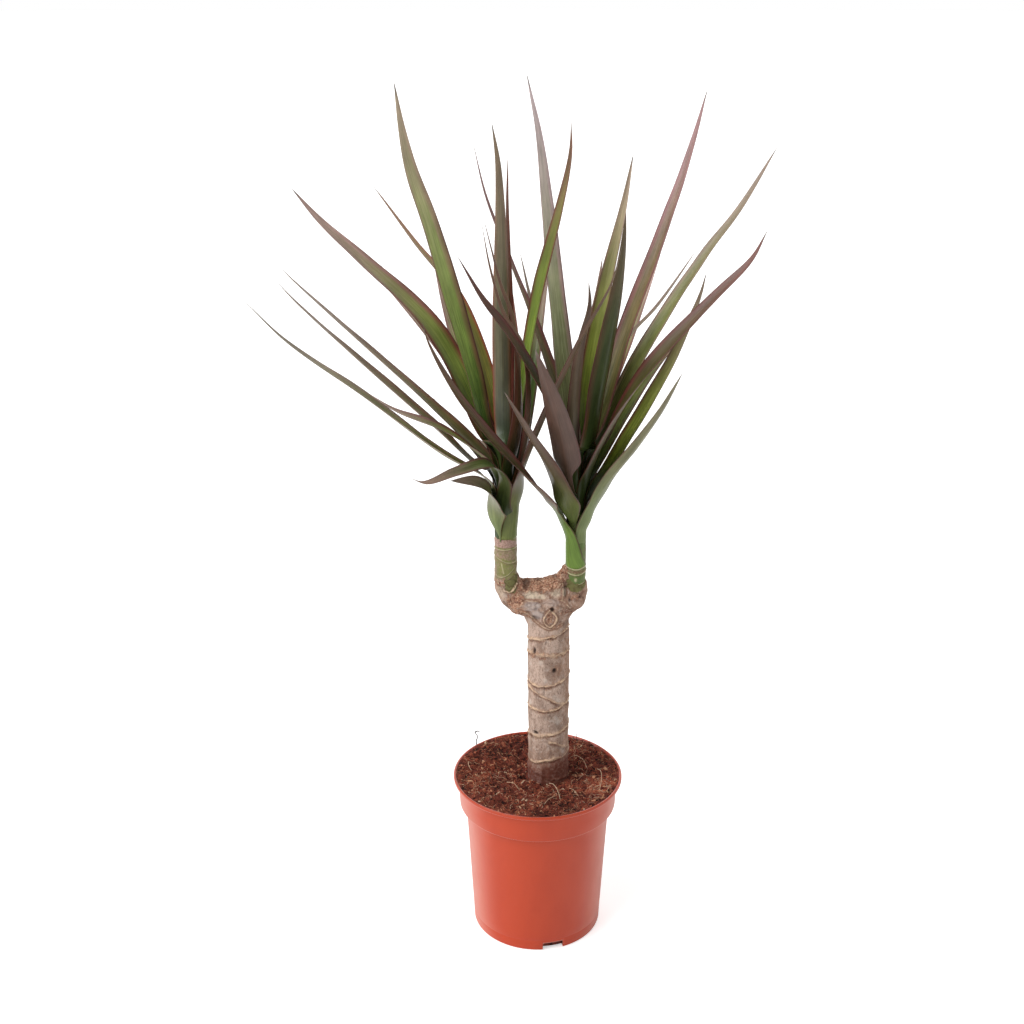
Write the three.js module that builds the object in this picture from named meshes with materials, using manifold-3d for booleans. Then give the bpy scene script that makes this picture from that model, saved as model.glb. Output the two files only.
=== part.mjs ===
// A potted dracaena marginata: one bare trunk that forks into two leafy stems, in a 12 cm nursery pot.
// Millimetres, +Z up. The origin is the centre of the pot's foot, on the surface that it stands on.
import * as THREE from 'three';
import { mergeVertices } from 'three/addons/utils/BufferGeometryUtils.js';
import Module from 'manifold-3d';

const wasm = await Module();
wasm.setup();

const clearance = 0.3;

// Pot
const potHeight = 119;
const lipRadius = 60;
const lipHeight = 3;
const collarRadius = 56.5;
const collarFoot = 97;
const collarFootRadius = 55.7;
const bodyTopRadius = 51.3;
const footRadius = 46;
const potWall = 1.4;
const potFloor = 1.6;
const potEdge = 1;
const potLedge = 2.4;
const drainNotch = { width: 15, height: 6, inner: 38, count: 3, firstAngle: -76 };

// Soil
const soilTop = 115.6;
const soilRelief = 1.1;
const soilGap = 0.35;

// Trunk: its axis leans a little, and its foot stands in the soil
const axisY = 4;
const trunkAxis = { x: 6.9, z: 230, lean: 0.0085 };
const trunkFoot = 50;
const trunkRadius = 14.5;
const leafScars = [125.6, 136.2, 148.2, 157, 166.5, 176.8, 187.8, 195.5, 206, 217.1, 230.7];
const trunkTop = 246;
const scarDepth = 0.45;
const scarLip = 0.25;
const barkTilt = 0.05;

// Fork: the swollen arms that carry the stems and the dry bark that climbs the right one, each as
// stations of x, y, z and radius, and the round scar of a bud on the front
const leftArm = [
  [6, axisY, 244, 12.5],
  [-3, axisY, 252, 13],
  [-11, axisY, 254.6, 12.2],
  [-17, axisY, 258, 10.8],
  [-20.6, axisY, 263.5, 9.6],
  [-21.6, axisY, 268, 9],
];
const rightArm = [
  [5, axisY, 244, 12.5],
  [11, axisY, 253, 13.4],
  [17, axisY, 254.5, 12.2],
  [21.8, axisY, 256, 10.6],
  [24.4, axisY, 260, 8.9],
  [25, axisY, 263, 8.2],
];
const dryBark = [
  [13, axisY, 258, 8.5],
  [17, axisY, 264, 8],
  [18.6, axisY + 1, 270, 6],
  [19.6, axisY + 1, 275, 4.4],
];
const budScar = { x: 6.7, y: -9.6, z: 244.7, width: 10, depth: 4.8, height: 13.2, tilt: -0.25 };
const barkUnevenness = 0.5;

// Stems: where each stands, how thick it is, and the bare part's leaf scars
const leftStem = {
  x: -22.7,
  radius: 7.6,
  foot: 257.5,
  footShift: 3.4,
  bendTop: 274,
  crown: 299,
  scars: [263.2, 269.1, 275.8, 285.3, 293.3],
};
const rightStem = {
  x: 25,
  radius: 6.8,
  foot: 252,
  footShift: -1.2,
  bendTop: 266,
  crown: 297,
  scars: [267.2, 274.6, 278.3],
};

// Leafy core of each stem: it narrows from the crown's foot up to the growing tip
const coreHeight = 66;
const coreTipRadius = 1.6;
const coreStep = 0.4;

// Leaf roots: how far apart up the stem, and how steeply a leaf sets out before it leans
const rootStep = 2.8;
const firstRoot = 1.5;
const collarLength = 14;
const leastLean = 7;
const leanShare = 0.3;
const mostLean = 25;

// Leaves
const leafSegments = 10;
const sheathLength = 30;
const sheathAngle = 0.75;
const bladeAngle = 0.3;
const keelThickness = 1.1;
const edgeThickness = 0.6;
const tipWidth = 1;
const taperShare = 0.68;
const taperPower = 0.85;
const neck = { at: 0.12, span: 0.07, depth: 0.22 };
const twistFrom = 0.08;
const twistSpan = 0.5;

// One entry for each leaf, in order up its stem: the blade's full width, how far the blade is turned
// about its own line in degrees, the points that its midrib passes through, root to tip, and, where it
// doesn't leave the stem towards the first of them, the side of the stem that it leaves from.
const leftLeaves = [
  { width: 18, twist: 0, side: -140,
    through: [[-28, -12, 323], [-33, -24, 340], [-41, -34, 351], [-57, -46, 357]] },
  { width: 14, twist: 0, side: -20,
    through: [[-16, -8, 332], [1, -24, 387], [27, -28, 447], [42, -30, 477], [48, -32, 502]] },
  { width: 8, twist: -20, through: [[-33, 28, 349], [-58, 62, 359], [-74, 84, 373]] },
  { width: 11, twist: 40, side: -105,
    through: [[-24, -20, 348], [-34, -32, 363], [-55, -48, 363], [-73, -56, 359], [-82, -60, 364]] },
  { width: 12, twist: 0, side: 60, through: [[-9, 32, 373], [1, 78, 431], [8, 104, 467]] },
  { width: 13, twist: 10,
    through: [[-35, -2, 342], [-63, -8, 361], [-114, -16, 404], [-160, -20, 440], [-183, -24, 466]] },
  { width: 12, twist: 0, through: [[-34, 35, 365], [-61, 70, 403], [-97, 100, 440], [-119, 114, 460]] },
  { width: 9, twist: -30,
    through: [[-7, -10, 386], [-10, -13, 434], [-23, -16, 458], [-31, -22, 485], [-37, -28, 516]] },
  { width: 13, twist: 0, side: 58, through: [[-16, 36, 386], [-20, 88, 443], [-27, 118, 489]] },
  { width: 14, twist: -25, side: 141,
    through: [[-37, 17, 351], [-71, 31, 381], [-120, 48, 422], [-161, 62, 457], [-176, 66, 471]] },
  { width: 10, twist: 25, through: [[-35, -14, 359], [-61, -34, 386], [-90, -56, 406], [-106, -70, 422]] },
  { width: 13, twist: 0, side: 108,
    through: [[-37, 38, 382], [-58, 84, 419], [-73, 126, 462], [-77, 136, 476]] },
  { width: 14, twist: -8, side: 188,
    through: [[-38, 4, 348], [-73, 12, 377], [-123, 20, 421], [-160, 22, 457], [-171, 22, 470]] },
  { width: 11, twist: -45, side: 95,
    through: [[-29, 34, 379], [-54, 66, 447], [-85, 86, 483], [-114, 104, 519]] },
  { width: 11, twist: -50, side: -60,
    through: [[-13, -7, 398], [-17, -5, 452], [-25, -8, 475], [-36, -12, 516]] },
  { width: 18, twist: 0,
    through: [[-40, 24, 375], [-59, 37, 413], [-77, 42, 440], [-122, 46, 483],
      [-145, 48, 505], [-162, 50, 525]] },
  { width: 14, twist: 0, side: 14,
    through: [[-16, 4, 361], [-10, 13, 406], [1, 14, 471], [12, 12, 517], [18, 10, 551], [18, 10, 571]] },
  { width: 23, twist: 20, side: 162,
    through: [[-34, 12, 365], [-49, 22, 417], [-72, 36, 499], [-86, 42, 545], [-93, 44, 592]] },
  { width: 9, twist: -50, side: 97,
    through: [[-22, 32, 387], [-21, 46, 452], [-22, 57, 510], [-21, 62, 547]] },
  { width: 15, twist: -20, side: -90,
    through: [[-24, 6, 374], [-25, 8, 428], [-25, 10, 498], [-27, 12, 545], [-31, 14, 570]] },
];
const rightLeaves = [
  { width: 14, twist: 45, side: -150,
    through: [[15, -8, 318], [4, -22, 335], [-14, -34, 360], [-37, -40, 389],
      [-58, -46, 422], [-70, -50, 449], [-72, -50, 459]] },
  { width: 14, twist: 0, through: [[23, 50, 368], [16, 104, 418], [9, 136, 461], [7, 146, 475]] },
  { width: 18, twist: 10, side: -45,
    through: [[29, -4, 317], [43, -14, 343], [59, -22, 368], [76, -30, 398], [87, -38, 425]] },
  { width: 12, twist: 0, through: [[40, 38, 371], [64, 86, 419], [84, 122, 463], [94, 140, 486]] },
  { width: 17, twist: 10, side: -125,
    through: [[20, -12, 324], [4, -38, 364], [-7, -54, 387], [-23, -78, 424]] },
  { width: 15, twist: -20, side: 22,
    through: [[48, 10, 348], [68, 22, 378], [91, 34, 418], [107, 42, 458], [110, 44, 471]] },
  { width: 9, twist: -30, side: 116,
    through: [[16, 38, 378], [4, 72, 413], [-5, 92, 439], [-13, 110, 473]] },
  { width: 19, twist: 0, side: -105,
    through: [[20, -14, 338], [13, -44, 382], [4, -72, 421], [-5, -96, 454]] },
  { width: 10, twist: 0, through: [[48, 24, 361], [78, 62, 398], [114, 96, 431], [133, 112, 447]] },
  { width: 9, twist: 30, side: 97,
    through: [[31, 39, 371], [36, 82, 416], [42, 104, 445], [46, 120, 468]] },
  { width: 17, twist: -32, side: -28,
    through: [[39, -4, 363], [67, -8, 415], [110, -16, 469], [129, -20, 492], [137, -22, 510]] },
  { width: 9, twist: 30, side: 55, through: [[42, 33, 373], [59, 56, 420], [81, 68, 443], [108, 84, 479]] },
  { width: 15, twist: 55,
    through: [[16, -4, 370], [1, -12, 404], [-20, -28, 445], [-37, -40, 472], [-51, -48, 499]] },
  { width: 12, twist: 20, side: 95,
    through: [[29, 26, 361], [34, 33, 408], [43, 40, 463], [54, 46, 513], [60, 50, 547]] },
  { width: 9, twist: -40, through: [[21, -5, 378], [25, -12, 433], [30, -16, 462], [29, -18, 478]] },
  { width: 16, twist: 0,
    through: [[41, 18, 363], [66, 26, 416], [106, 38, 480], [130, 46, 512], [153, 52, 551]] },
  { width: 11, twist: -35, side: 125,
    through: [[18, 24, 375], [-7, 48, 444], [-20, 60, 475], [-36, 70, 516], [-44, 76, 550]] },
  { width: 16, twist: 12,
    through: [[40, 14, 379], [58, 34, 433], [80, 54, 489], [98, 70, 541], [110, 80, 585]] },
  { width: 21, twist: -10, side: 135,
    through: [[20, 12, 365], [10, 34, 441], [3, 56, 511], [-2, 70, 560], [-9, 80, 595]] },
  { width: 18, twist: -10, side: -36,
    through: [[31, -5, 364], [44, 10, 427], [52, 18, 477], [54, 20, 514]] },
];

function solidOf(geometry) {
  const bare = geometry.clone();
  bare.deleteAttribute('normal');
  bare.deleteAttribute('uv');
  const merged = mergeVertices(bare, 1e-4);
  const vertProperties = new Float32Array(merged.attributes.position.array);
  const triVerts = new Uint32Array(merged.index.array);
  return new wasm.Manifold(new wasm.Mesh({ numProp: 3, vertProperties, triVerts }));
}

function geometryOf(solid) {
  const mesh = solid.getMesh();
  const geometry = new THREE.BufferGeometry();
  geometry.setAttribute('position', new THREE.BufferAttribute(new Float32Array(mesh.vertProperties), 3));
  geometry.setIndex(new THREE.BufferAttribute(new Uint32Array(mesh.triVerts), 1));
  geometry.computeVertexNormals();
  return geometry;
}

function indexed(points, triangles) {
  const geometry = new THREE.BufferGeometry();
  const numbers = points.flatMap((p) => [p.x, p.y, p.z]);
  geometry.setAttribute('position', new THREE.Float32BufferAttribute(numbers, 3));
  geometry.setIndex(triangles.flat());
  geometry.computeVertexNormals();
  return geometry;
}

// A lathe turned about +Z. The profile is a list of [radius, height].
function turned(profile, sides) {
  const points = profile.map(([radius, height]) => new THREE.Vector2(radius, height));
  return new THREE.LatheGeometry(points, sides).rotateX(Math.PI / 2);
}

// A closed body through rings of points that all have the same number of points, bottom ring first.
function stacked(rings) {
  const sides = rings[0].length;
  const points = rings.flat();
  const triangles = [];
  for (let row = 0; row < rings.length - 1; row += 1) {
    for (let side = 0; side < sides; side += 1) {
      const a = row * sides + side;
      const b = row * sides + ((side + 1) % sides);
      triangles.push([a, b, b + sides], [a, b + sides, a + sides]);
    }
  }
  const last = points.length - sides;
  for (let side = 1; side < sides - 1; side += 1) {
    triangles.push([0, side + 1, side], [last, last + side, last + side + 1]);
  }
  return indexed(points, triangles);
}

function ringOf(centre, across, along, radius, sides) {
  const ring = [];
  for (let side = 0; side < sides; side += 1) {
    const angle = (side / sides) * 2 * Math.PI;
    const point = centre.clone();
    point.addScaledVector(across, radius * Math.cos(angle));
    point.addScaledVector(along, radius * Math.sin(angle));
    ring.push(point);
  }
  return ring;
}

// A gentle unevenness between -1 and 1, the same on each run.
function uneven(x, y, z) {
  const broad = Math.sin(x * 0.31 + z * 0.17 + 1.3) * Math.cos(y * 0.27 - z * 0.23);
  const fine = Math.sin(x * 0.83 - y * 0.71 + 0.4) * Math.cos(z * 0.67 + x * 0.37);
  return 0.6 * broad + 0.4 * fine;
}

function mesh(name, geometry, colour, roughness) {
  const material = new THREE.MeshStandardMaterial({ color: colour, roughness, metalness: 0 });
  const part = new THREE.Mesh(geometry, material);
  part.name = name;
  return part;
}

// A drain notch through the foot of the wall, with a round top, made grown by a margin.
function drainNotches(margin) {
  const half = drainNotch.width / 2 + margin;
  const top = drainNotch.height + margin;
  const corner = 2;
  const arch = new THREE.Shape();
  arch.moveTo(-half, -1);
  arch.lineTo(half, -1);
  arch.lineTo(half, top - corner);
  arch.absarc(half - corner, top - corner, corner, 0, Math.PI / 2, false);
  arch.absarc(-half + corner, top - corner, corner, Math.PI / 2, Math.PI, false);
  const depth = lipRadius - drainNotch.inner + margin;
  const notches = [];
  for (let i = 0; i < drainNotch.count; i += 1) {
    const angle = ((drainNotch.firstAngle + (i * 360) / drainNotch.count) * Math.PI) / 180;
    const notch = new THREE.ExtrudeGeometry(arch, { depth, bevelEnabled: false, curveSegments: 3 });
    notch.translate(0, 0, drainNotch.inner - margin);
    notch.rotateX(Math.PI / 2).rotateZ(angle + Math.PI / 2);
    notches.push(solidOf(notch));
  }
  return notches.reduce((all, notch) => all.add(notch));
}

function pot() {
  const lipFoot = potHeight - lipHeight;
  const profile = [
    [0, 0],
    [footRadius - potEdge, 0],
    [footRadius, potEdge],
    [bodyTopRadius, collarFoot - potEdge],
    [collarFootRadius, collarFoot],
    [collarRadius, lipFoot],
    [lipRadius, lipFoot + 0.6 * potEdge],
    [lipRadius - 0.3 * potEdge, potHeight - 0.6 * potEdge],
    [lipRadius - 1.4 * potEdge, potHeight],
    [collarRadius - potWall + 0.4 * potEdge, potHeight],
    [collarRadius - potWall, potHeight - potEdge],
    [collarFootRadius - potWall, collarFoot + potLedge],
    [bodyTopRadius - potWall, collarFoot + 0.4 * potEdge],
    [footRadius - potWall, potFloor],
    [0, potFloor],
  ];
  const shell = solidOf(turned(profile, 48));
  return mesh('pot', geometryOf(shell.subtract(drainNotches(0))), 0xc2583c, 0.42);
}

function trunkCentre(z) {
  return new THREE.Vector3(trunkAxis.x + trunkAxis.lean * (trunkAxis.z - z), axisY, z);
}

function soil() {
  const collarInside = collarFootRadius - potWall - soilGap;
  const bodyInside = bodyTopRadius - potWall - soilGap;
  const edge = collarInside + 0.5;
  const profile = [
    [0, potFloor + soilGap],
    [footRadius - potWall - soilGap, potFloor + soilGap],
    [bodyInside, collarFoot + 0.4 * potEdge + soilGap],
    [collarInside, collarFoot + potLedge + soilGap],
    [edge, soilTop - 1.5],
    ...[0.96, 0.82, 0.62, 0.42, 0.2, 0].map((part) => [edge * part, soilTop]),
  ];
  const body = turned(profile, 40);
  const position = body.attributes.position;
  for (let i = 0; i < position.count; i += 1) {
    if (position.getZ(i) > soilTop - 1) {
      const relief = soilRelief * uneven(position.getX(i), position.getY(i), 0);
      position.setZ(i, soilTop + relief);
    }
  }
  const holeRadius = trunkRadius + 1;
  const rings = [trunkFoot - clearance, soilTop + 10].map((z) => {
    return ringOf(trunkCentre(z), new THREE.Vector3(1, 0, 0), new THREE.Vector3(0, 1, 0), holeRadius, 24);
  });
  const hole = solidOf(stacked(rings));
  const filled = solidOf(body).subtract(hole).subtract(drainNotches(clearance));
  return mesh('soil', geometryOf(filled), 0x4a2c20, 0.95);
}

// A tube through centres of [x, y, z, radius], with rings square to its line.
function taperedTube(stations, sides, steps) {
  const curve = new THREE.CatmullRomCurve3(stations.map(([x, y, z]) => new THREE.Vector3(x, y, z)));
  const sideways = new THREE.Vector3(0, 1, 0);
  const rings = [];
  for (let step = 0; step <= steps; step += 1) {
    const along = (step / steps) * (stations.length - 1);
    const index = Math.min(Math.floor(along), stations.length - 2);
    const radius = THREE.MathUtils.lerp(stations[index][3], stations[index + 1][3], along - index);
    const centre = curve.getPoint(step / steps);
    const tangent = curve.getTangent(step / steps);
    const across = new THREE.Vector3().crossVectors(sideways, tangent).normalize();
    const ring = ringOf(centre, across, sideways, radius, sides);
    ring.forEach((p) => {
      const bump = barkUnevenness * uneven(p.x * 1.6, p.y * 1.6, p.z * 1.6);
      p.addScaledVector(p.clone().sub(centre).normalize(), bump);
    });
    rings.push(ring);
  }
  return stacked(rings);
}

// The round column of a stem between its foot and its growing tip, or the socket that holds its foot.
function stemRings(stem, margin, sides) {
  const heights = [[stem.foot - margin, stem.radius]];
  for (const scar of stem.scars) {
    heights.push([scar - 1.2, stem.radius - 0.1], [scar, stem.radius + 0.35]);
    heights.push([scar + 1.1, stem.radius - 0.15]);
  }
  heights.push([stem.crown - 1, stem.radius - 0.1]);
  heights.push([stem.crown, stem.radius - coreStep]);
  for (const part of [0.25, 0.5, 0.75, 1]) {
    const radius = THREE.MathUtils.lerp(stem.radius - coreStep, coreTipRadius, part);
    heights.push([stem.crown + part * coreHeight, radius]);
  }
  return heights.map(([z, radius]) => {
    const bend = THREE.MathUtils.clamp((stem.bendTop - z) / (stem.bendTop - stem.foot), 0, 1);
    const centre = new THREE.Vector3(stem.x + stem.footShift * bend ** 2, axisY, z);
    const across = new THREE.Vector3(1, 0, 0);
    return ringOf(centre, across, new THREE.Vector3(0, 1, 0), radius + margin, sides);
  });
}

function stemSocket(stem) {
  const rings = stemRings(stem, clearance, 20);
  return solidOf(stacked(rings));
}

function stem(name, row, colour) {
  return mesh(name, stacked(stemRings(row, 0, 20)), colour, 0.5);
}

function trunk() {
  const heights = [[trunkFoot, trunkRadius - 1.5], [trunkFoot + 8, trunkRadius - scarLip]];
  heights.push([soilTop, trunkRadius]);
  for (const scar of leafScars) {
    heights.push([scar, trunkRadius - scarDepth], [scar + 1.8, trunkRadius + scarLip]);
  }
  heights.push([trunkTop - 8, trunkRadius + scarLip], [trunkTop, trunkRadius - scarDepth]);
  const rings = heights.map(([z, radius], row) => {
    const ring = ringOf(trunkCentre(z), new THREE.Vector3(1, 0, 0), new THREE.Vector3(0, 1, 0), radius, 20);
    const tilt = z > soilTop && z < trunkTop ? barkTilt * Math.sin(row * 0.9) : 0;
    ring.forEach((p) => {
      p.z += tilt * (p.x - trunkAxis.x);
    });
    return ring;
  });
  const bud = new THREE.SphereGeometry(0.5, 10, 6);
  bud.scale(budScar.width, budScar.depth, budScar.height);
  bud.rotateX(budScar.tilt).translate(budScar.x, budScar.y, budScar.z);
  const fork = [leftArm, rightArm, dryBark].map((arm) => solidOf(taperedTube(arm, 14, 7)));
  let solid = solidOf(stacked(rings));
  for (const arm of fork) {
    solid = solid.add(arm);
  }
  solid = solid.add(solidOf(bud));
  solid = solid.subtract(stemSocket(leftStem)).subtract(stemSocket(rightStem));
  return mesh('trunk', geometryOf(solid), 0xa58d7c, 0.85);
}

function coreRadius(stem, z) {
  const part = THREE.MathUtils.clamp((z - stem.crown) / coreHeight, 0, 1);
  return THREE.MathUtils.lerp(stem.radius - coreStep, coreTipRadius, part);
}

// The midrib's line: it leaves the stem steeply, then runs through the leaf's own points.
function midrib(leaf, stem, rank) {
  const rootZ = stem.crown + firstRoot + rootStep * rank;
  const first = new THREE.Vector3(...leaf.through[0]);
  const axis = new THREE.Vector3(stem.x, axisY, rootZ);
  const side = leaf.side === undefined
    ? Math.atan2(first.y - axisY, first.x - stem.x)
    : THREE.MathUtils.degToRad(leaf.side);
  const outward = new THREE.Vector3(Math.cos(side), Math.sin(side), 0);
  const root = axis.clone().addScaledVector(outward, coreRadius(stem, rootZ) + keelThickness / 2 + clearance);
  const reach = first.clone().sub(root);
  const leanThere = THREE.MathUtils.radToDeg(Math.atan2(Math.hypot(reach.x, reach.y), reach.z));
  const lean = THREE.MathUtils.degToRad(Math.min(leastLean + leanShare * leanThere, mostLean));
  const collar = root.clone().addScaledVector(outward, collarLength * Math.sin(lean));
  collar.z += collarLength * Math.cos(lean);
  const points = [root, collar, ...leaf.through.map((p) => new THREE.Vector3(...p))];
  const curve = new THREE.CatmullRomCurve3(points, false, 'centripetal');
  curve.arcLengthDivisions = 400;
  return { curve, side, axis };
}

// Full width along the blade: a slight neck above the sheath, then wide, then a long taper.
function widthAt(leaf, part) {
  const taper = Math.sin((Math.PI / 2) * Math.min((1 - part) / taperShare, 1)) ** taperPower;
  const narrowing = 1 - neck.depth * Math.exp(-(((part - neck.at) / neck.span) ** 2));
  return Math.max(leaf.width * taper * narrowing, tipWidth);
}

function leafGeometry(leaf, stem, rank) {
  const { curve, side, axis } = midrib(leaf, stem, rank);
  const length = curve.getLength();
  const level = new THREE.Vector3(-Math.sin(side), Math.cos(side), 0);
  const upper = [];
  const under = [];
  const lanes = 5;
  for (let station = 0; station <= leafSegments; station += 1) {
    const part = (station / leafSegments) ** 1.3;
    const centre = curve.getPointAt(part);
    const tangent = curve.getTangentAt(part);
    const across = level.clone().addScaledVector(tangent, -tangent.dot(level)).normalize();
    const outward = new THREE.Vector3().crossVectors(across, tangent);
    const turn = THREE.MathUtils.clamp((part - twistFrom) / twistSpan, 0, 1);
    const twist = THREE.MathUtils.degToRad(leaf.twist) * turn;
    const wide = across.clone().multiplyScalar(Math.cos(twist)).addScaledVector(outward, Math.sin(twist));
    const down = new THREE.Vector3().crossVectors(wide, tangent);
    const freed = THREE.MathUtils.smoothstep(part * length, 0, sheathLength);
    const distance = Math.hypot(centre.x - axis.x, centre.y - axis.y);
    const half = widthAt(leaf, part) / 2;
    const wrap = Math.min(half / distance, sheathAngle);
    const angle = THREE.MathUtils.lerp(wrap, bladeAngle, freed);
    const radius = THREE.MathUtils.lerp(wrap * distance, half, freed) / angle;
    for (let lane = 0; lane < lanes; lane += 1) {
      const offset = (2 * lane) / (lanes - 1) - 1;
      const theta = angle * offset;
      const spot = centre.clone().addScaledVector(wide, radius * Math.sin(theta));
      spot.addScaledVector(down, -radius * (1 - Math.cos(theta)));
      const normal = down.clone().multiplyScalar(Math.cos(theta)).addScaledVector(wide, Math.sin(theta));
      const keel = THREE.MathUtils.lerp(keelThickness, edgeThickness, part);
      const thickness = THREE.MathUtils.lerp(keel, edgeThickness, Math.abs(offset));
      upper.push(spot.clone().addScaledVector(normal, -thickness / 2));
      under.push(spot.clone().addScaledVector(normal, thickness / 2));
    }
  }
  return thinBody(upper, under, lanes);
}

// Closes two sheets of points into a thin body whose two faces are split along the same diagonals.
function thinBody(upper, under, lanes) {
  const count = upper.length;
  const triangles = [];
  const rows = count / lanes;
  for (let row = 0; row < rows - 1; row += 1) {
    for (let lane = 0; lane < lanes - 1; lane += 1) {
      const a = row * lanes + lane;
      const b = a + 1;
      const c = b + lanes;
      const d = a + lanes;
      triangles.push([a, c, b], [a, d, c]);
      triangles.push([a + count, b + count, c + count], [a + count, c + count, d + count]);
    }
    const left = row * lanes;
    const leftNext = left + lanes;
    const right = leftNext - 1;
    const rightNext = right + lanes;
    triangles.push([left, left + count, leftNext + count], [left, leftNext + count, leftNext]);
    triangles.push([right, rightNext, rightNext + count], [right, rightNext + count, right + count]);
  }
  const last = count - lanes;
  for (let lane = 0; lane < lanes - 1; lane += 1) {
    triangles.push([lane, lane + 1, lane + 1 + count], [lane, lane + 1 + count, lane + count]);
    const top = last + lane;
    triangles.push([top, top + 1 + count, top + 1], [top, top + count, top + 1 + count]);
  }
  return indexed([...upper, ...under], triangles);
}

const plant = new THREE.Group();
plant.add(pot(), soil(), trunk());
plant.add(stem('stem_left', leftStem, 0x7b7a48));
plant.add(stem('stem_right', rightStem, 0x5f7d3a));
for (const [crown, row, leaves] of [['left', leftStem, leftLeaves], ['right', rightStem, rightLeaves]]) {
  leaves.forEach((leaf, rank) => {
    const name = `${crown}_leaf_${String(rank + 1).padStart(2, '0')}`;
    plant.add(mesh(name, leafGeometry(leaf, row, rank), 0x5d7148, 0.45));
  });
}

export default plant;
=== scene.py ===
import math
import random

import bpy
import numpy as np
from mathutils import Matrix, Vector


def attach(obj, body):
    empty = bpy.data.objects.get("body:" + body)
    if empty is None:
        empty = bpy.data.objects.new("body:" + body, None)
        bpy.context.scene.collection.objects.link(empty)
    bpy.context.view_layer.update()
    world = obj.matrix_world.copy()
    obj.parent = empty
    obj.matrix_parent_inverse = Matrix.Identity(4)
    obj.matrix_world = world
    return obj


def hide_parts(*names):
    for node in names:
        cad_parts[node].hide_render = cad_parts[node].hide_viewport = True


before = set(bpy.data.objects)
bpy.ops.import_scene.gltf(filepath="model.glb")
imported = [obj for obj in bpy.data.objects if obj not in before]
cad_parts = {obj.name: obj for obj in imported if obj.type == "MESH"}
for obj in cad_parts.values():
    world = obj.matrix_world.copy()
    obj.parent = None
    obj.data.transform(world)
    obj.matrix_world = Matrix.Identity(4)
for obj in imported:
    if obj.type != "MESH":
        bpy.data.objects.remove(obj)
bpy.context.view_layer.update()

mm = 0.001
axisY = 4.0                       # the trunk and both stems stand this far behind the pot's centre


# small helpers for numbers and curves

def lerp(start, end, share):
    return start + (end - start) * share


def ease(value, low, high):
    share = np.clip((value - low) / (high - low), 0, 1)
    return share * share * (3 - 2 * share)


def bump(distance, width):
    return np.exp(-(distance / width) ** 2)


def onPlane(x, y):
    # points, or directions, with no height
    return np.stack([x, y, np.zeros_like(x)], 1)


def latticeNoise(points, seed=0):
    # smooth noise between -1 and 1 at every point, the same on each run
    cell = np.floor(points).astype(np.int64)
    part = points - cell
    part = part * part * (3 - 2 * part)
    total = np.zeros(len(points))
    for corner in range(8):
        step = np.array([corner & 1, corner >> 1 & 1, corner >> 2 & 1])
        key = (cell + step) @ np.array([73856093, 19349663, 83492791]) + seed * 7919
        key = ((key ^ (key >> 13)) * 1274126177) & 0x7FFFFFFF
        value = ((key ^ (key >> 15)) & 0xFFFF) / 32767.5 - 1
        total += value * np.prod(np.where(step, part, 1 - part), axis=1)
    return total


def roughness(points, size, layers=3, seed=0):
    # layers of noise, the first with bumps of the given size and each next one half as large
    total = np.zeros(len(points))
    for layer in range(layers):
        scale = 2 ** layer / size
        total += latticeNoise(points * scale + 17.3 * layer, seed + layer) * 0.5 ** layer
    return total


def throughKnots(knots, at):
    # a smooth curve through (place, height) knots
    place = np.array([knot[0] for knot in knots], float)
    height = np.array([knot[1] for knot in knots], float)
    slope = np.gradient(height, place)
    index = np.clip(np.searchsorted(place, at) - 1, 0, len(place) - 2)
    span = place[index + 1] - place[index]
    t = np.clip((at - place[index]) / span, 0, 1)
    first = (2 * t ** 3 - 3 * t ** 2 + 1) * height[index] + (t ** 3 - 2 * t ** 2 + t) * span * slope[index]
    second = (3 * t ** 2 - 2 * t ** 3) * height[index + 1] + (t ** 3 - t ** 2) * span * slope[index + 1]
    return first + second


def throughPoints(points, count):
    # a smooth line of that many points through the ones given
    points = np.array(points, float)
    knots = np.linspace(0, 1, len(points))
    at = np.linspace(0, 1, count)
    return np.stack([throughKnots(list(zip(knots, column)), at) for column in points.T], 1)


def smoothLine(points, count=400):
    # centripetal Catmull-Rom through the points, sampled densely
    points = [np.array(point, float) for point in points]
    last = len(points) - 1
    samples = []
    for step in range(count + 1):
        place = last * step / count
        index = min(int(place), last - 1)
        w = place - index
        p1, p2 = points[index], points[index + 1]
        p0 = points[index - 1] if index > 0 else 2 * points[0] - points[1]
        p3 = points[index + 2] if index + 2 <= last else 2 * points[last] - points[last - 1]
        d0, d1, d2 = (math.sqrt(np.linalg.norm(b - a)) for a, b in ((p0, p1), (p1, p2), (p2, p3)))
        t1 = ((p1 - p0) / d0 - (p2 - p0) / (d0 + d1) + (p2 - p1) / d1) * d1
        t2 = ((p2 - p1) / d1 - (p3 - p1) / (d1 + d2) + (p3 - p2) / d2) * d1
        square = -3 * p1 + 3 * p2 - 2 * t1 - t2
        cube = 2 * p1 - 2 * p2 + t1 + t2
        samples.append(p1 + t1 * w + square * w ** 2 + cube * w ** 3)
    return np.array(samples)


# helpers for meshes

def newObject(name, points, faces):
    # points come in millimetres
    mesh = bpy.data.meshes.new(name)
    mesh.from_pydata((np.asarray(points) * mm).tolist(), [], [list(face) for face in faces])
    mesh.update()
    item = bpy.data.objects.new(name, mesh)
    bpy.context.scene.collection.objects.link(item)
    return item


def makePiece(name, points, faces, material, replaces=(), masks=None, flat=False):
    piece = newObject(name, points, faces)
    for mask, values in (masks or {}).items():
        layer = piece.data.attributes.new(mask, "FLOAT", "POINT")
        layer.data.foreach_set("value", np.asarray(values, np.float32))
    if not flat:
        piece.data.shade_smooth()
    piece.data.materials.append(material)
    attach(piece, "root")
    if replaces:
        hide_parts(*replaces)
    return piece


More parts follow.
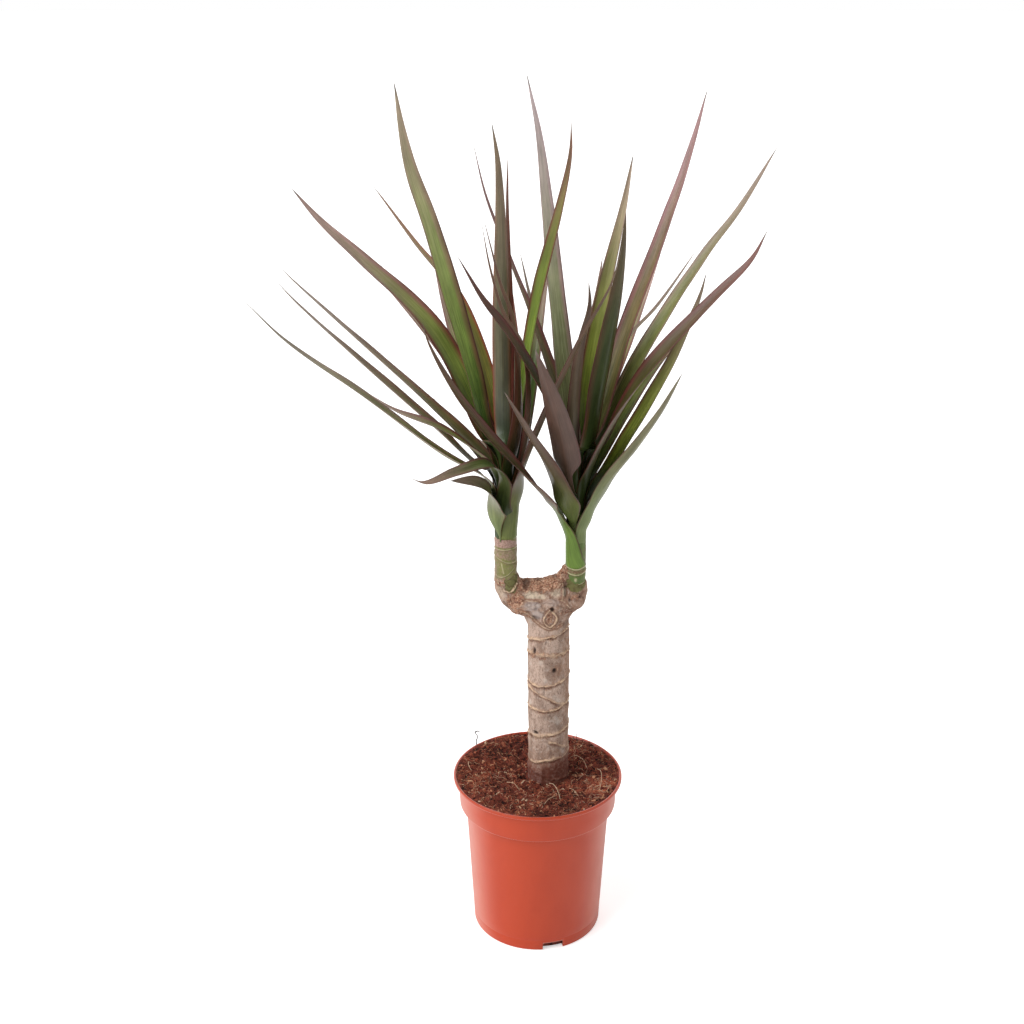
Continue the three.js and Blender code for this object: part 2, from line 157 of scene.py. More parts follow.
def applyModifiers(piece):
    graph = bpy.context.evaluated_depsgraph_get()
    finished = bpy.data.meshes.new_from_object(piece.evaluated_get(graph), depsgraph=graph)
    piece.modifiers.clear()
    piece.data = finished


def gridFaces(rows, columns, closed=True, first=0, flipped=False):
    faces = []
    for row in range(rows - 1):
        for column in range(columns if closed else columns - 1):
            a = first + row * columns + column
            b = first + row * columns + (column + 1) % columns
            face = (a, b, b + columns, a + columns)
            faces.append(face[::-1] if flipped else face)
    return faces


def tubeFaces(rows, sides):
    # rings joined one above the other, with a cap on the first and the last
    last = (rows - 1) * sides
    return gridFaces(rows, sides) + [tuple(range(sides - 1, -1, -1)), tuple(range(last, last + sides))]


def ringAround(centre, across, along, radius, sides):
    angles = np.linspace(0, 2 * math.pi, sides, endpoint=False)
    return centre + radius * (np.outer(np.cos(angles), across) + np.outer(np.sin(angles), along))


def unitCircle(sides):
    angles = np.linspace(0, 2 * math.pi, sides, endpoint=False)
    return np.stack([np.cos(angles), np.sin(angles)], 1)


def thinTube(path, radii, sides=5):
    # a closed tube along a path, for fibres, stalks and roots
    along = np.gradient(path, axis=0)
    along /= np.linalg.norm(along, axis=1)[:, None]
    guide = np.array([0.0, 0.0, 1.0]) if abs(along[0][2]) < 0.8 else np.array([1.0, 0.0, 0.0])
    points = []
    for centre, direction, radius in zip(path, along, radii):
        across = np.cross(direction, guide)
        across /= np.linalg.norm(across)
        points.append(ringAround(centre, across, np.cross(direction, across), radius, sides))
    return np.vstack(points), tubeFaces(len(path), sides)


class Bundle:
    # many small closed bodies gathered into one mesh, each with its own tone
    def __init__(self):
        self.points = []
        self.faces = []
        self.tones = []
        self.count = 0

    def add(self, points, faces, tone):
        self.points.append(points)
        self.faces.extend([tuple(index + self.count for index in face) for face in faces])
        self.tones.append(np.full(len(points), tone))
        self.count += len(points)

    def piece(self, name, material, slot, flat=False):
        masks = {"tone": np.concatenate(self.tones)}
        makePiece(name, np.vstack(self.points), self.faces, material, masks=masks, flat=flat)


def crumbShape():
    # an icosahedron: the start of a crumb, and of the balls that the trunk is roughed out from
    golden = (1 + 5 ** 0.5) / 2
    points = []
    for a in (-1, 1):
        for b in (-golden, golden):
            points += [(0, a, b), (a, b, 0), (b, 0, a)]
    points = np.array(points) / math.hypot(1, golden)
    faces = []
    for i in range(12):
        for j in range(i + 1, 12):
            for k in range(j + 1, 12):
                a, b, c = points[i], points[j], points[k]
                if max(np.linalg.norm(side) for side in (b - a, c - b, a - c)) < 1.1:
                    outward = np.dot(np.cross(b - a, c - a), a + b + c) > 0
                    faces.append((i, j, k) if outward else (i, k, j))
    return points, faces


# helpers for materials

def screenColour(red, green, blue):
    # a colour as the eye sees it, 0 to 255, turned into the linear values that a shader takes
    values = []
    for level in (red, green, blue):
        share = level / 255
        values.append(share / 12.92 if share < 0.04045 else ((share + 0.055) / 1.055) ** 2.4)
    return (*values, 1.0)


def shaderColours(paint):
    # every colour of a paint's dictionary, as a shader takes it
    return {name: screenColour(*value) for name, value in paint.items() if isinstance(value, tuple)}


def addNode(tree, kind, inputs=None, **settings):
    node = tree.nodes.new(kind)
    for name, value in settings.items():
        setattr(node, name, value)
    for name, value in (inputs or {}).items():
        feed(tree, node.inputs[name], value)
    return node


def feed(tree, socket, value):
    if isinstance(value, bpy.types.NodeSocket):
        tree.links.new(value, socket)
    else:
        socket.default_value = value


def calculate(tree, operation, a, b=0.0, c=0.0):
    return addNode(tree, "ShaderNodeMath", {0: a, 1: b, 2: c}, operation=operation).outputs[0]


def multiply(tree, a, b):
    return calculate(tree, "MULTIPLY", a, b)


def smoothStep(tree, value, low, high, start=0.0, end=1.0):
    node = addNode(tree, "ShaderNodeMapRange", {"Value": value, "From Min": low, "From Max": high,
                   "To Min": start, "To Max": end}, interpolation_type="SMOOTHSTEP")
    return node.outputs["Result"]


def mapRange(tree, value, low, high, start, end):
    node = addNode(tree, "ShaderNodeMapRange", {"Value": value, "From Min": low, "From Max": high,
                   "To Min": start, "To Max": end})
    return node.outputs["Result"]


def blendColour(tree, share, a, b):
    return addNode(tree, "ShaderNodeMix", {0: share, 6: a, 7: b}, data_type="RGBA").outputs[2]


def readMask(tree, name):
    return addNode(tree, "ShaderNodeAttribute", attribute_name=name).outputs["Fac"]


def objectPlace(tree):
    return addNode(tree, "ShaderNodeTexCoord").outputs["Object"]


def noise(tree, place, scale, detail, rough=0.5):
    return addNode(tree, "ShaderNodeTexNoise", {"Vector": place, "Scale": scale, "Detail": detail,
                   "Roughness": rough}).outputs[0]


def patchy(tree, mask, pattern, spread, shift):
    # a mesh's mask, raised and lowered along a noise pattern so that its edge breaks up
    shifted = calculate(tree, "ADD", readMask(tree, mask), shift)
    return calculate(tree, "MULTIPLY_ADD", pattern, spread, shifted)


def newGroup(name, inputs, outputs):
    tree = bpy.data.node_groups.new(name, "ShaderNodeTree")
    for label, kind, default in inputs:
        socket = tree.interface.new_socket(label, in_out="INPUT", socket_type="NodeSocket" + kind)
        socket.default_value = default
    for label, kind in outputs:
        tree.interface.new_socket(label, in_out="OUTPUT", socket_type="NodeSocket" + kind)
    return tree, tree.nodes.new("NodeGroupInput").outputs, tree.nodes.new("NodeGroupOutput").inputs


def useGroup(tree, group, inputs):
    node = tree.nodes.new("ShaderNodeGroup")
    node.node_tree = group
    for name, value in inputs.items():
        feed(tree, node.inputs[name], value)
    return node.outputs


def newMaterial(name):
    material = bpy.data.materials.new(name)
    material.use_nodes = True
    tree = material.node_tree
    return material, tree, tree.nodes["Principled BSDF"].inputs


def finishSurface(tree, shader, colour, rough, height, strength, distance):
    feed(tree, shader["Base Color"], colour)
    feed(tree, shader["Roughness"], rough)
    relief = addNode(tree, "ShaderNodeBump", {"Height": height, "Strength": strength,
                     "Distance": distance * mm})
    feed(tree, shader["Normal"], relief.outputs["Normal"])


def mottleGroup():
    # soft patches and fine grain: the unevenness that every natural or moulded surface has
    tree, given, result = newGroup("mottle", [
        ("Colour", "Color", (0.5, 0.5, 0.5, 1)), ("Dark", "Color", (0.2, 0.2, 0.2, 1)),
        ("Stretch", "Vector", (1, 1, 1)), ("Patch Size", "Float", 8.0), ("Patches", "Float", 0.3),
        ("Grain Size", "Float", 0.6), ("Grain", "Float", 0.2)],
        [("Colour", "Color"), ("Patch Mask", "Float"), ("Height", "Float")])
    inMillimetres = addNode(tree, "ShaderNodeVectorMath", {0: objectPlace(tree), 1: (1000, 1000, 1000)},
                            operation="MULTIPLY").outputs[0]
    stretched = addNode(tree, "ShaderNodeVectorMath", {0: inMillimetres, 1: given["Stretch"]},
                        operation="MULTIPLY").outputs[0]
    patch = noise(tree, stretched, calculate(tree, "DIVIDE", 1.0, given["Patch Size"]), 4.0, 0.6)
    grain = noise(tree, stretched, calculate(tree, "DIVIDE", 1.0, given["Grain Size"]), 3.0, 0.7)
    patchMask = smoothStep(tree, patch, 0.42, 0.68)
    patched = blendColour(tree, multiply(tree, patchMask, given["Patches"]), given["Colour"], given["Dark"])
    grainShare = multiply(tree, smoothStep(tree, grain, 0.45, 0.75), given["Grain"])
    feed(tree, result["Colour"], blendColour(tree, grainShare, patched, given["Dark"]))
    feed(tree, result["Patch Mask"], patchMask)
    feed(tree, result["Height"], calculate(tree, "ADD", multiply(tree, patch, 0.5), grain))
    return tree


def scarLineGroup():
    # a thin broken line, drawn where the distance to a scar is small, and painted shade along the grooves
    # below it
    tree, given, result = newGroup("scarLine", [
        ("Colour", "Color", (0.5, 0.5, 0.5, 1)), ("Line", "Color", (0.6, 0.5, 0.3, 1)),
        ("Groove Shade", "Color", (0.1, 0.06, 0.04, 1)), ("Gap", "Float", 9.0), ("Groove Share", "Float", 0.0),
        ("Shown", "Float", 1.0), ("Wander", "Float", 1.6), ("Break Size", "Float", 2.5),
        ("Whole", "Float", 0.3)],
        [("Colour", "Color"), ("Line Mask", "Float")])
    place = objectPlace(tree)
    wander = noise(tree, place, 900.0, 3.0)
    breaks = noise(tree, place, calculate(tree, "DIVIDE", 1000.0, given["Break Size"]), 2.0)
    sway = calculate(tree, "SUBTRACT", wander, 0.5)
    moved = calculate(tree, "MULTIPLY_ADD", sway, given["Wander"], given["Gap"])
    present = calculate(tree, "MAXIMUM", smoothStep(tree, breaks, 0.36, 0.5), given["Whole"])
    present = multiply(tree, present, given["Shown"])
    lineMask = multiply(tree, smoothStep(tree, moved, 0.3, 1.5, 1.0, 0.0), present)
    grooveShadeMask = multiply(tree, given["Groove Share"], smoothStep(tree, wander, 0.3, 0.62, 0.25, 1.0))
    colour = blendColour(tree, grooveShadeMask, given["Colour"], given["Groove Shade"])
    feed(tree, result["Colour"], blendColour(tree, lineMask, colour, given["Line"]))
    feed(tree, result["Line Mask"], lineMask)
    return tree


def drawLines(tree, colour, line, shadedGroove, wander=1.6, whole=0.3):
    # the scar lines that a mesh's masks give: where its lines are, the painted shade in the grooves below
    # them, and how much shows
    return useGroup(tree, scarLine, {"Colour": colour, "Line": line, "Groove Shade": shadedGroove,
                    "Gap": readMask(tree, "gap"), "Groove Share": readMask(tree, "shadedGroove"),
                    "Shown": readMask(tree, "shown"), "Wander": wander, "Whole": whole})


mottle = mottleGroup()
scarLine = scarLineGroup()


# the camera stands where the photograph's did; a broad key lamp on the left, white paper below

camera = {"lens": 50, "sensor": 36, "place": (-18.4, -890.0, 654.0), "pitchDown": 20.65, "near": 0.05,
          "far": 200}
lamps = [
    {"name": "keyWindow", "from": (-0.85, -0.42, 0.75), "spread": 50, "power": 2.4},
    {"name": "rightFill", "from": (0.9, -0.1, 0.45), "spread": 60, "power": 0.25},
    {"name": "backLift", "from": (0.1, 0.9, 0.7), "spread": 60, "power": 0.6},
]
studio = {"frontSky": 0.32, "backSky": 0.62, "skyTurn": 0.9, "floor": (246, 245, 244), "floorGlow": 0.5,
          "floorRadii": [200, 600, 2000, 8000, 30000], "floorSides": 48}


def makeCamera():
    view = bpy.data.cameras.new("photoCamera")
    view.lens = camera["lens"]
    view.sensor_width = camera["sensor"]
    view.clip_start = camera["near"]
    view.clip_end = camera["far"]
    shooter = bpy.data.objects.new("photoCamera", view)
    shooter.location = Vector(camera["place"]) * mm
    shooter.rotation_euler = (math.radians(90 - camera["pitchDown"]), 0, 0)
    bpy.context.scene.collection.objects.link(shooter)
    bpy.context.scene.camera = shooter


def makeLamps():
    for lamp in lamps:
        light = bpy.data.lights.new(lamp["name"], "SUN")
        light.angle = math.radians(lamp["spread"])
        light.energy = lamp["power"]
        holder = bpy.data.objects.new(lamp["name"], light)
        holder.location = Vector(lamp["from"]) * 2
        holder.rotation_euler = (-Vector(lamp["from"])).to_track_quat("-Z", "Y").to_euler()
        bpy.context.scene.collection.objects.link(holder)


def makeSky():
    # white where the camera sees it; as a light it is dimmer in front of the plant than behind
    world = bpy.data.worlds.new("whiteStudio")
    world.use_nodes = True
    tree = world.node_tree
    towards = addNode(tree, "ShaderNodeTexCoord").outputs["Generated"]
    depth = addNode(tree, "ShaderNodeSeparateXYZ", {0: towards}).outputs["Y"]
    turn = studio["skyTurn"]
    sky = smoothStep(tree, depth, -turn, turn, studio["frontSky"], studio["backSky"])
    seen = addNode(tree, "ShaderNodeLightPath").outputs["Is Camera Ray"]
    background = tree.nodes["Background"].inputs
    background["Color"].default_value = (1, 1, 1, 1)
    feed(tree, background["Strength"], mapRange(tree, seen, 0.0, 1.0, sky, 1.0))
    bpy.context.scene.world = world
    bpy.context.scene.view_settings.view_transform = "Standard"


def makeFloor():
    sides = studio["floorSides"]
    points = [np.array([[0.0, 0.0, 0.0]])]
    for radius in studio["floorRadii"]:
        points.append(ringAround(np.zeros(3), np.array([1, 0, 0]), np.array([0, 1, 0]), radius, sides))
    faces = [(0, 1 + side, 1 + (side + 1) % sides) for side in range(sides)]
    faces += gridFaces(len(studio["floorRadii"]), sides, first=1)
    floor = newObject("paleFloor", np.vstack(points), faces)
    material, tree, shader = newMaterial("palePaper")
    shader["Base Color"].default_value = screenColour(*studio["floor"])
    shader["Roughness"].default_value = 0.9
    shader["Specular IOR Level"].default_value = 0.1
    shader["Emission Color"].default_value = (1, 1, 1, 1)
    seen = addNode(tree, "ShaderNodeLightPath").outputs["Is Camera Ray"]
    feed(tree, shader["Emission Strength"], multiply(tree, seen, studio["floorGlow"]))
    floor.data.materials.append(material)


makeCamera()
makeLamps()
makeSky()
makeFloor()
print("studio ready")


# the moulded pot

potSize = {
    "height": 119, "lipRadius": 60, "lipHeight": 3, "collarRadius": 56.5, "collarFoot": 97,
    "collarFootRadius": 55.7, "bodyTopRadius": 51.3, "footRadius": 46, "wall": 1.4, "floor": 1.6,
    "edge": 1.0, "ledge": 2.4, "sides": 180, "lipInner": 58.7, "lipSlope": 4.5,
    "cornerRadius": 0.9, "cornerSteps": 4, "longestStep": 6, "footLine": 8.0, "footLineDepth": 0.12,
    "notchWidth": 15, "notchHeight": 6, "notchInner": 38, "notchAngles": (-76, 44, 164), "notchCorner": 1.6,
    "ovalFrom": 60, "oval": 0.004,
}
# the last colour here is a painted reflection at the pot's edges
potPaint = {"body": (193, 62, 18), "dark": (178, 52, 15), "dust": (104, 50, 38), "gloss": (232, 166, 150),
            "rough": 0.36, "sheen": 0.08}


def rounded(corners, radius, steps):
    # a profile with its corners rounded, as a mould leaves them
    points = []
    for index, corner in enumerate(corners):
        here = np.array(corner, float)
        if index in (0, len(corners) - 1):
            points.append(here)
            continue
        before = np.array(corners[index - 1], float)
        after = np.array(corners[index + 1], float)
        reach = min(radius, 0.45 * np.linalg.norm(before - here), 0.45 * np.linalg.norm(after - here))
        start = here + (before - here) / np.linalg.norm(before - here) * reach
        end = here + (after - here) / np.linalg.norm(after - here) * reach
        for step in range(steps + 1):
            t = step / steps
            points.append((1 - t) ** 2 * start + 2 * t * (1 - t) * here + t * t * end)
    return np.array(points)


def potMaterial():
    material, tree, shader = newMaterial("terracottaPlastic")
    paint = shaderColours(potPaint)
    worn = useGroup(tree, mottle, {"Colour": paint["body"], "Dark": paint["dark"], "Stretch": (1, 1, 0.6),
                    "Patch Size": 22.0, "Patches": 0.3, "Grain Size": 1.1, "Grain": 0.1})
    specks = smoothStep(tree, noise(tree, objectPlace(tree), 900.0, 2.0), 0.4, 0.62)
    dusty = multiply(tree, readMask(tree, "dust"), specks)
    colour = blendColour(tree, dusty, worn["Colour"], paint["dust"])
    rough = calculate(tree, "ADD", multiply(tree, worn["Patch Mask"], 0.08), potPaint["rough"])
    # painted reflection: the smooth plastic is painted paler where it turns away, as a sheen of the bright
    # room
    facing = addNode(tree, "ShaderNodeLayerWeight", {"Blend": 0.5}).outputs["Facing"]
    colour = blendColour(tree, smoothStep(tree, facing, 0.34, 0.8, 0.0, 0.44), colour, paint["gloss"])
    finishSurface(tree, shader, colour, rough, worn["Height"], 0.1, 0.2)
    shader["Sheen Weight"].default_value = potPaint["sheen"]
    return material


def potProfile():
    # radius and height from the middle of the underside, up the outside, over the lip and down the inside
    size = potSize
    foot, body, collar = size["footRadius"], size["bodyTopRadius"], size["collarRadius"]
    collarFootRadius, collarFoot = size["collarFootRadius"], size["collarFoot"]
    lip, top, wall, floor = size["lipRadius"], size["height"], size["wall"], size["floor"]
    lipFoot = top - size["lipHeight"]
    corners = [
        (0, 0), (foot - 0.4, 0), (foot + 0.1, 0.6),
        (lerp(foot, body, size["footLine"] / collarFoot), size["footLine"]),
        (body, collarFoot - size["edge"]), (collarFootRadius, collarFoot), (collar, lipFoot),
        (lip, lipFoot + 0.4), (lip, top - 0.2), (size["lipInner"], top),
        (collar - wall, top - size["lipSlope"]), (collarFootRadius - wall, collarFoot + size["ledge"]),
        (body - wall, collarFoot + 0.4), (foot - wall, floor), (0, floor),
    ]
    profile = rounded(corners, size["cornerRadius"], size["cornerSteps"])
    dense = [profile[0]]
    for before, after in zip(profile[:-1], profile[1:]):
        pieces = max(1, int(np.linalg.norm(after - before) / size["longestStep"]))
        dense.extend(before + (after - before) * (step + 1) / pieces for step in range(pieces))
    return np.array(dense)


def makePot():
    size = potSize
    sides = size["sides"]
    profile = potProfile()
    radius = np.maximum(profile[1:-1, 0], 0.01)
    height = profile[1:-1, 1]
    rows = len(radius)
    ring = unitCircle(sides)
    points = np.vstack([np.column_stack([r * ring, np.full(sides, z)]) for r, z in zip(radius, height)])
    # a real pot isn't quite round, and the mould leaves a fine line above its foot
    turn = np.arctan2(points[:, 1], points[:, 0])
    oval = 1 + size["oval"] * ease(points[:, 2], size["ovalFrom"], size["height"]) * np.cos(2 * turn)
    points[:, :2] *= oval[:, None]
    outside = np.hypot(points[:, 0], points[:, 1]) > size["footRadius"] - 0.8
    line = bump(points[:, 2] - size["footLine"], 0.5) * outside
    points[:, :2] *= (1 - size["footLineDepth"] * line / size["footRadius"])[:, None]
    points = np.vstack([points, [[0, 0, 0]], [[0, 0, size["floor"]]]])
    bottom = rows * sides
    last = (rows - 1) * sides
    faces = gridFaces(rows, sides)
    faces += [(bottom, (side + 1) % sides, side) for side in range(sides)]
    faces += [(bottom + 1, last + side, last + (side + 1) % sides) for side in range(sides)]
    # soil dust on the inside and along the lip
    inner = np.repeat(np.arange(rows) > np.argmax(height), sides)
    dust = np.append(np.where(inner, 0.85, 0.35 * bump(points[:-2, 2] - size["height"], 0.8)), [0, 0])
    pot = makePiece("plasticPot", points, faces, potMaterial(), replaces=["pot"],
                    masks={"dust": dust})
    cutNotches(pot)


def cutNotches(pot):
    size = potSize
    corner = size["notchCorner"]
    half = size["notchWidth"] / 2
    top = size["notchHeight"] - corner
    outline = [(-half, -2), (half, -2)]
    for middle, start in ((half - corner, 0), (corner - half, math.pi / 2)):
        for turn in np.linspace(start, start + math.pi / 2, 5):
            outline.append((middle + corner * math.cos(turn), top + corner * math.sin(turn)))
    for index, angle in enumerate(size["notchAngles"]):
        outward = np.array([math.cos(math.radians(angle)), math.sin(math.radians(angle)), 0])
        across = np.array([-outward[1], outward[0], 0])
        rings = []
        for reach in (size["notchInner"], size["lipRadius"]):
            rings.append([outward * reach + across * x + np.array([0, 0, z]) for x, z in outline])
        cutter = newObject(f"notchCutter{index}", np.vstack(rings), tubeFaces(2, len(outline)))
        cut = pot.modifiers.new("notch", "BOOLEAN")
        cut.object = cutter
        cut.operation = "DIFFERENCE"
        cut.solver = "EXACT"
        applyModifiers(pot)
        bpy.data.objects.remove(cutter)


makePot()
print("pot ready")


# the coir potting soil

soilSize = {
    "top": 115.2, "brim": 3.1, "radius": 54.3, "brimRadius": 58.3, "floorRadius": 44.2, "floorHeight": 2.0,
    "ledgeRadius": 49.5, "ledgeHeight": 97.8, "shoulderHeight": 100, "rings": 120, "spokes": 320,
    "moundFrom": 14, "moundTo": 46, "trunkClear": 14.4, "hole": (6.9, 4.0),
    "dip": {"x": -10, "y": -1, "reach": 3.2, "depth": 2.2},
    "crumbs": 4200, "crumbLeast": 0.28, "crumbSpread": 0.75, "crumbTone": (0.33, 0.23),
    "fibres": 4200, "fibreSteps": 8, "fibreStride": (0.25, 1.0), "fibreRadius": (0.07, 0.17),
    "strandLift": 2.2,
}
fibreTones = [0.1, 0.2, 0.3, 0.38, 0.46, 0.54, 0.66, 0.86]
soilPaint = {
    "deep": (38, 16, 13), "coir": (126, 60, 46), "rust": (174, 94, 66), "straw": (212, 162, 126),
    "pale": (234, 208, 178), "rough": 0.9, "specular": 0.25,
}
# where the mix is paler or darker: x, y, reach and change of tone; the darkest, at -11, -1, is painted shade
# in the dip
soilPatches = [(46, -15, 9, 0.26), (37, -23, 7, 0.2), (-45, -11, 10, 0.12), (-29, 33, 12, -0.14),
               (-11, -1, 4, -0.3), (30, 8, 12, -0.06), (-16, 0, 3, 0.22), (0, -44, 12, -0.05)]
# long fibres and stalks that the photograph shows
soilStrands = [
    {"radius": 0.24, "tone": 0.96, "path": [(8, -17, 118), (11, -24, 121), (14, -31, 119), (15, -37, 117)]},
    {"radius": 0.26, "tone": 0.9, "path": [(11, -33, 117), (7, -39, 119), (4, -44, 118), (2, -48, 117)]},
    {"radius": 0.22, "tone": 0.94, "path": [(43, 4, 117), (45, -4, 120), (45, -14, 120), (43, -25, 116.5)]},
    {"radius": 0.25, "tone": 0.96, "path": [(24, 20, 117), (28, 16, 121), (33, 12, 120), (36, 6, 116)]},
    {"radius": 0.2, "tone": 0.92, "path": [(-48, 14, 116), (-50, 9, 120), (-49, 3, 119), (-46, 0, 116)]},
    {"radius": 0.22, "tone": 0.88, "path": [(22, -22, 117), (25, -28, 119), (28, -31, 116)]},
    {"radius": 0.2, "tone": 0.9, "path": [(47, -26, 116), (50, -24, 119), (51, -20, 118)]},
    {"radius": 0.22, "tone": 0.9, "path": [(-22, -14, 117), (-17, -19, 119), (-13, -25, 117)]},
    {"radius": 0.45, "tone": 0.05, "path": [(-44, 39, 114), (-45, 40, 119), (-44, 40, 123), (-46, 41, 126)]},
    {"radius": 0.5, "tone": 0.02, "path": [(-46, 41, 126), (-44.5, 41, 127), (-42.5, 41.5, 126.6)]},
    {"radius": 0.28, "tone": 0.25, "path": [(29.5, 46, 114), (30, 46.5, 119), (29.8, 46.2, 122.5)]},
    {"radius": 0.18, "tone": 0.7, "path": [(-54, -2, 115), (-57, -3, 119.5), (-58.5, -5, 118)]},
]


def fromHole(x, y):
    return np.hypot(x - soilSize["hole"][0], y - soilSize["hole"][1])


def soilClods(x, y):
    return 0.95 * roughness(onPlane(x, y), 4.2, 3, 9)


def soilHeight(x, y):
    size = soilSize
    dip = size["dip"]
    height = size["top"] + size["brim"] * ease(fromHole(x, y), size["moundFrom"], size["moundTo"])
    clods = soilClods(x, y) * (1 - 0.5 * ease(np.hypot(x, y), 50, 56))
    height += 0.7 * roughness(onPlane(x, y), 14, 2, 3) + clods
    return height - dip["depth"] * bump(np.hypot(x - dip["x"], y - dip["y"]), dip["reach"])


def soilToneAndShade(x, y):
    # patches of the mix paler or darker, plus painted light and shade: the clods' tops lighter, the hollows
    # between them darker
    tone = 0.06 * roughness(onPlane(x, y), 9, 2, 33) + 0.13 * soilClods(x, y)
    for patchX, patchY, reach, change in soilPatches:
        tone = tone + change * bump(np.hypot(x - patchX, y - patchY), reach)
    return tone


def soilMaterial():
    material, tree, shader = newMaterial("coirSoil")
    paint = shaderColours(soilPaint)
    ramp = addNode(tree, "ShaderNodeValToRGB", {"Fac": readMask(tree, "tone")})
    stops = [(0.0, "deep"), (0.3, "coir"), (0.55, "rust"), (0.8, "straw"), (1.0, "pale")]
    while len(ramp.color_ramp.elements) < len(stops):
        ramp.color_ramp.elements.new(0.5)
    for element, (place, name) in zip(ramp.color_ramp.elements, stops):
        element.position = place
        element.color = paint[name]
    mixed = useGroup(tree, mottle, {"Colour": ramp.outputs["Color"], "Dark": paint["deep"],
                     "Patch Size": 4.0, "Patches": 0.25, "Grain Size": 0.5, "Grain": 0.4})
    finishSurface(tree, shader, mixed["Colour"], soilPaint["rough"], mixed["Height"], 0.7, 0.4)
    shader["Specular IOR Level"].default_value = soilPaint["specular"]
    return material


def makeSoilBody(material):
    # up the pot's inside from its floor, then over the rough top in to the middle
    size = soilSize
    spokes = size["spokes"]
    circle = unitCircle(spokes)
    walls = [(size["floorRadius"], size["floorHeight"]), (size["ledgeRadius"], size["ledgeHeight"]),
             (size["radius"] - 0.6, size["shoulderHeight"]), (size["radius"], size["top"] - 2.6)]
    rows = [np.column_stack([circle * radius, np.full(spokes, height)]) for radius, height in walls]
    for radius in np.linspace(size["brimRadius"], 0.4, size["rings"]):
        spot = circle * radius
        rows.append(np.column_stack([spot, soilHeight(spot[:, 0], spot[:, 1])]))
    points = np.vstack(rows)
    tone = 0.19 + 0.2 * roughness(points, 1.6, 3, 21) + soilToneAndShade(points[:, 0], points[:, 1])
    makePiece("soilBody", points, tubeFaces(len(rows), spokes), material, replaces=["soil"],
              masks={"tone": tone})


def scatterOnSoil(draw, count):
    # random places on the soil, clear of the trunk and inside the rim
    places = []
    while len(places) < count:
        radius = (soilSize["brimRadius"] - 0.6) * math.sqrt(draw.random())
        angle = draw.uniform(0, 2 * math.pi)
        x, y = radius * math.cos(angle), radius * math.sin(angle)
        if fromHole(x, y) > soilSize["trunkClear"]:
            places.append((x, y))
    return np.array(places)


def makeCrumbs(material):
    size = soilSize
    draw = random.Random(41)
    numbers = np.random.default_rng(41)
    shape, faces = crumbShape()
    places = scatterOnSoil(draw, size["crumbs"])
    ground = soilHeight(places[:, 0], places[:, 1])
    tones = soilToneAndShade(places[:, 0], places[:, 1])
    crumbs = Bundle()
    for (x, y), z, local in zip(places, ground, tones):
        width = size["crumbLeast"] + size["crumbSpread"] * draw.random() ** 2.8
        lump = shape * (1 + 0.35 * numbers.uniform(-1, 1, (12, 1)))
        turn = np.linalg.qr(numbers.normal(size=(3, 3)))[0]
        turn *= np.sign(np.linalg.det(turn))
        stretch = np.array([draw.uniform(0.8, 2.4), draw.uniform(0.6, 1.1), draw.uniform(0.4, 0.9)])
        lump = (lump * stretch * width) @ turn.T + np.array([x, y, z + 0.25 * width])
        crumbs.add(lump, faces, min(0.95, max(0.0, draw.gauss(*size["crumbTone"]) + local)))
    crumbs.piece("coirCrumbs", material, "soil", flat=True)


def makeFibres(material):
    # short coir fibres all over, then the long strands that the photograph shows
    size = soilSize
    count = size["fibres"]
    steps = size["fibreSteps"]
    draw = random.Random(7)
    numbers = np.random.default_rng(7)
    places = scatterOnSoil(draw, count)
    turns = np.cumsum(numbers.normal(0, 0.13, (count, 1)) + numbers.normal(0, 0.1, (count, steps)), axis=1)
    heading = numbers.uniform(0, 2 * math.pi, (count, 1)) + turns
    stride = numbers.uniform(*size["fibreStride"], (count, 1))
    x = places[:, :1] + np.cumsum(stride * np.cos(heading), axis=1)
    y = places[:, 1:] + np.cumsum(stride * np.sin(heading), axis=1)
    lift = numbers.uniform(0.0, 1.0, (count, 1)) * np.sin(np.linspace(0, math.pi, steps))
    z = soilHeight(x.ravel(), y.ravel()).reshape(count, steps) + 0.1 + lift
    tones = soilToneAndShade(places[:, 0], places[:, 1]) + numbers.choice(fibreTones, count)
    thick = numbers.uniform(*size["fibreRadius"], count)
    ends = np.sin(np.linspace(0.35, math.pi - 0.35, steps))
    inside = np.hypot(x, y).max(axis=1) < size["brimRadius"] - 0.2
    clear = fromHole(x, y).min(axis=1) > size["trunkClear"]
    fibres = Bundle()
    for index in np.flatnonzero(inside & clear):
        path = np.stack([x[index], y[index], z[index]], 1)
        points, faces = thinTube(path, thick[index] * ends, 4)
        fibres.add(points, faces, min(1.0, max(0.0, tones[index])))
    for strand in soilStrands:
        path = throughPoints(strand["path"], 14) + np.array([0, 0, size["strandLift"]])
        points, faces = thinTube(path, strand["radius"] * np.linspace(1, 0.65, 14), 6)
        fibres.add(points, faces, strand["tone"])
    fibres.piece("coirFibres", material, "soil")


coir = soilMaterial()
makeSoilBody(coir)
makeCrumbs(coir)
makeFibres(coir)
print("soil ready")


# the cane and its fork

trunkSize = {
    "foot": 50, "top": 244, "radius": 14.4, "axisX": 6.9, "axisZ": 230, "lean": 0.0085, "blend": 4.5,
    "voxel": 0.62, "ballSpacing": 3.0, "ballSwell": 1.12, "settling": 5,
    "leftArm": [(6, 244, 12.5), (-3, 252, 13), (-11, 254.6, 12.2), (-17, 258, 10.8), (-20.6, 263.5, 9.6),
                (-21.6, 268, 8.6)],
    "rightArm": [(5, 244, 12.5), (11, 253, 13.4), (17, 254.5, 12.2), (21.8, 256, 10.6), (24.4, 260, 8.6),
                 (25, 263, 7.9)],
    "dryBark": [(13, 258, 8.5), (17, 264, 8), (18.6, 270, 6), (19.6, 275, 4.4)],
    "saddle": [(-9, 258, 8.5), (2, 259.5, 8.8), (12, 261, 8.5)],
}
forkArms = ("leftArm", "rightArm", "dryBark", "saddle")
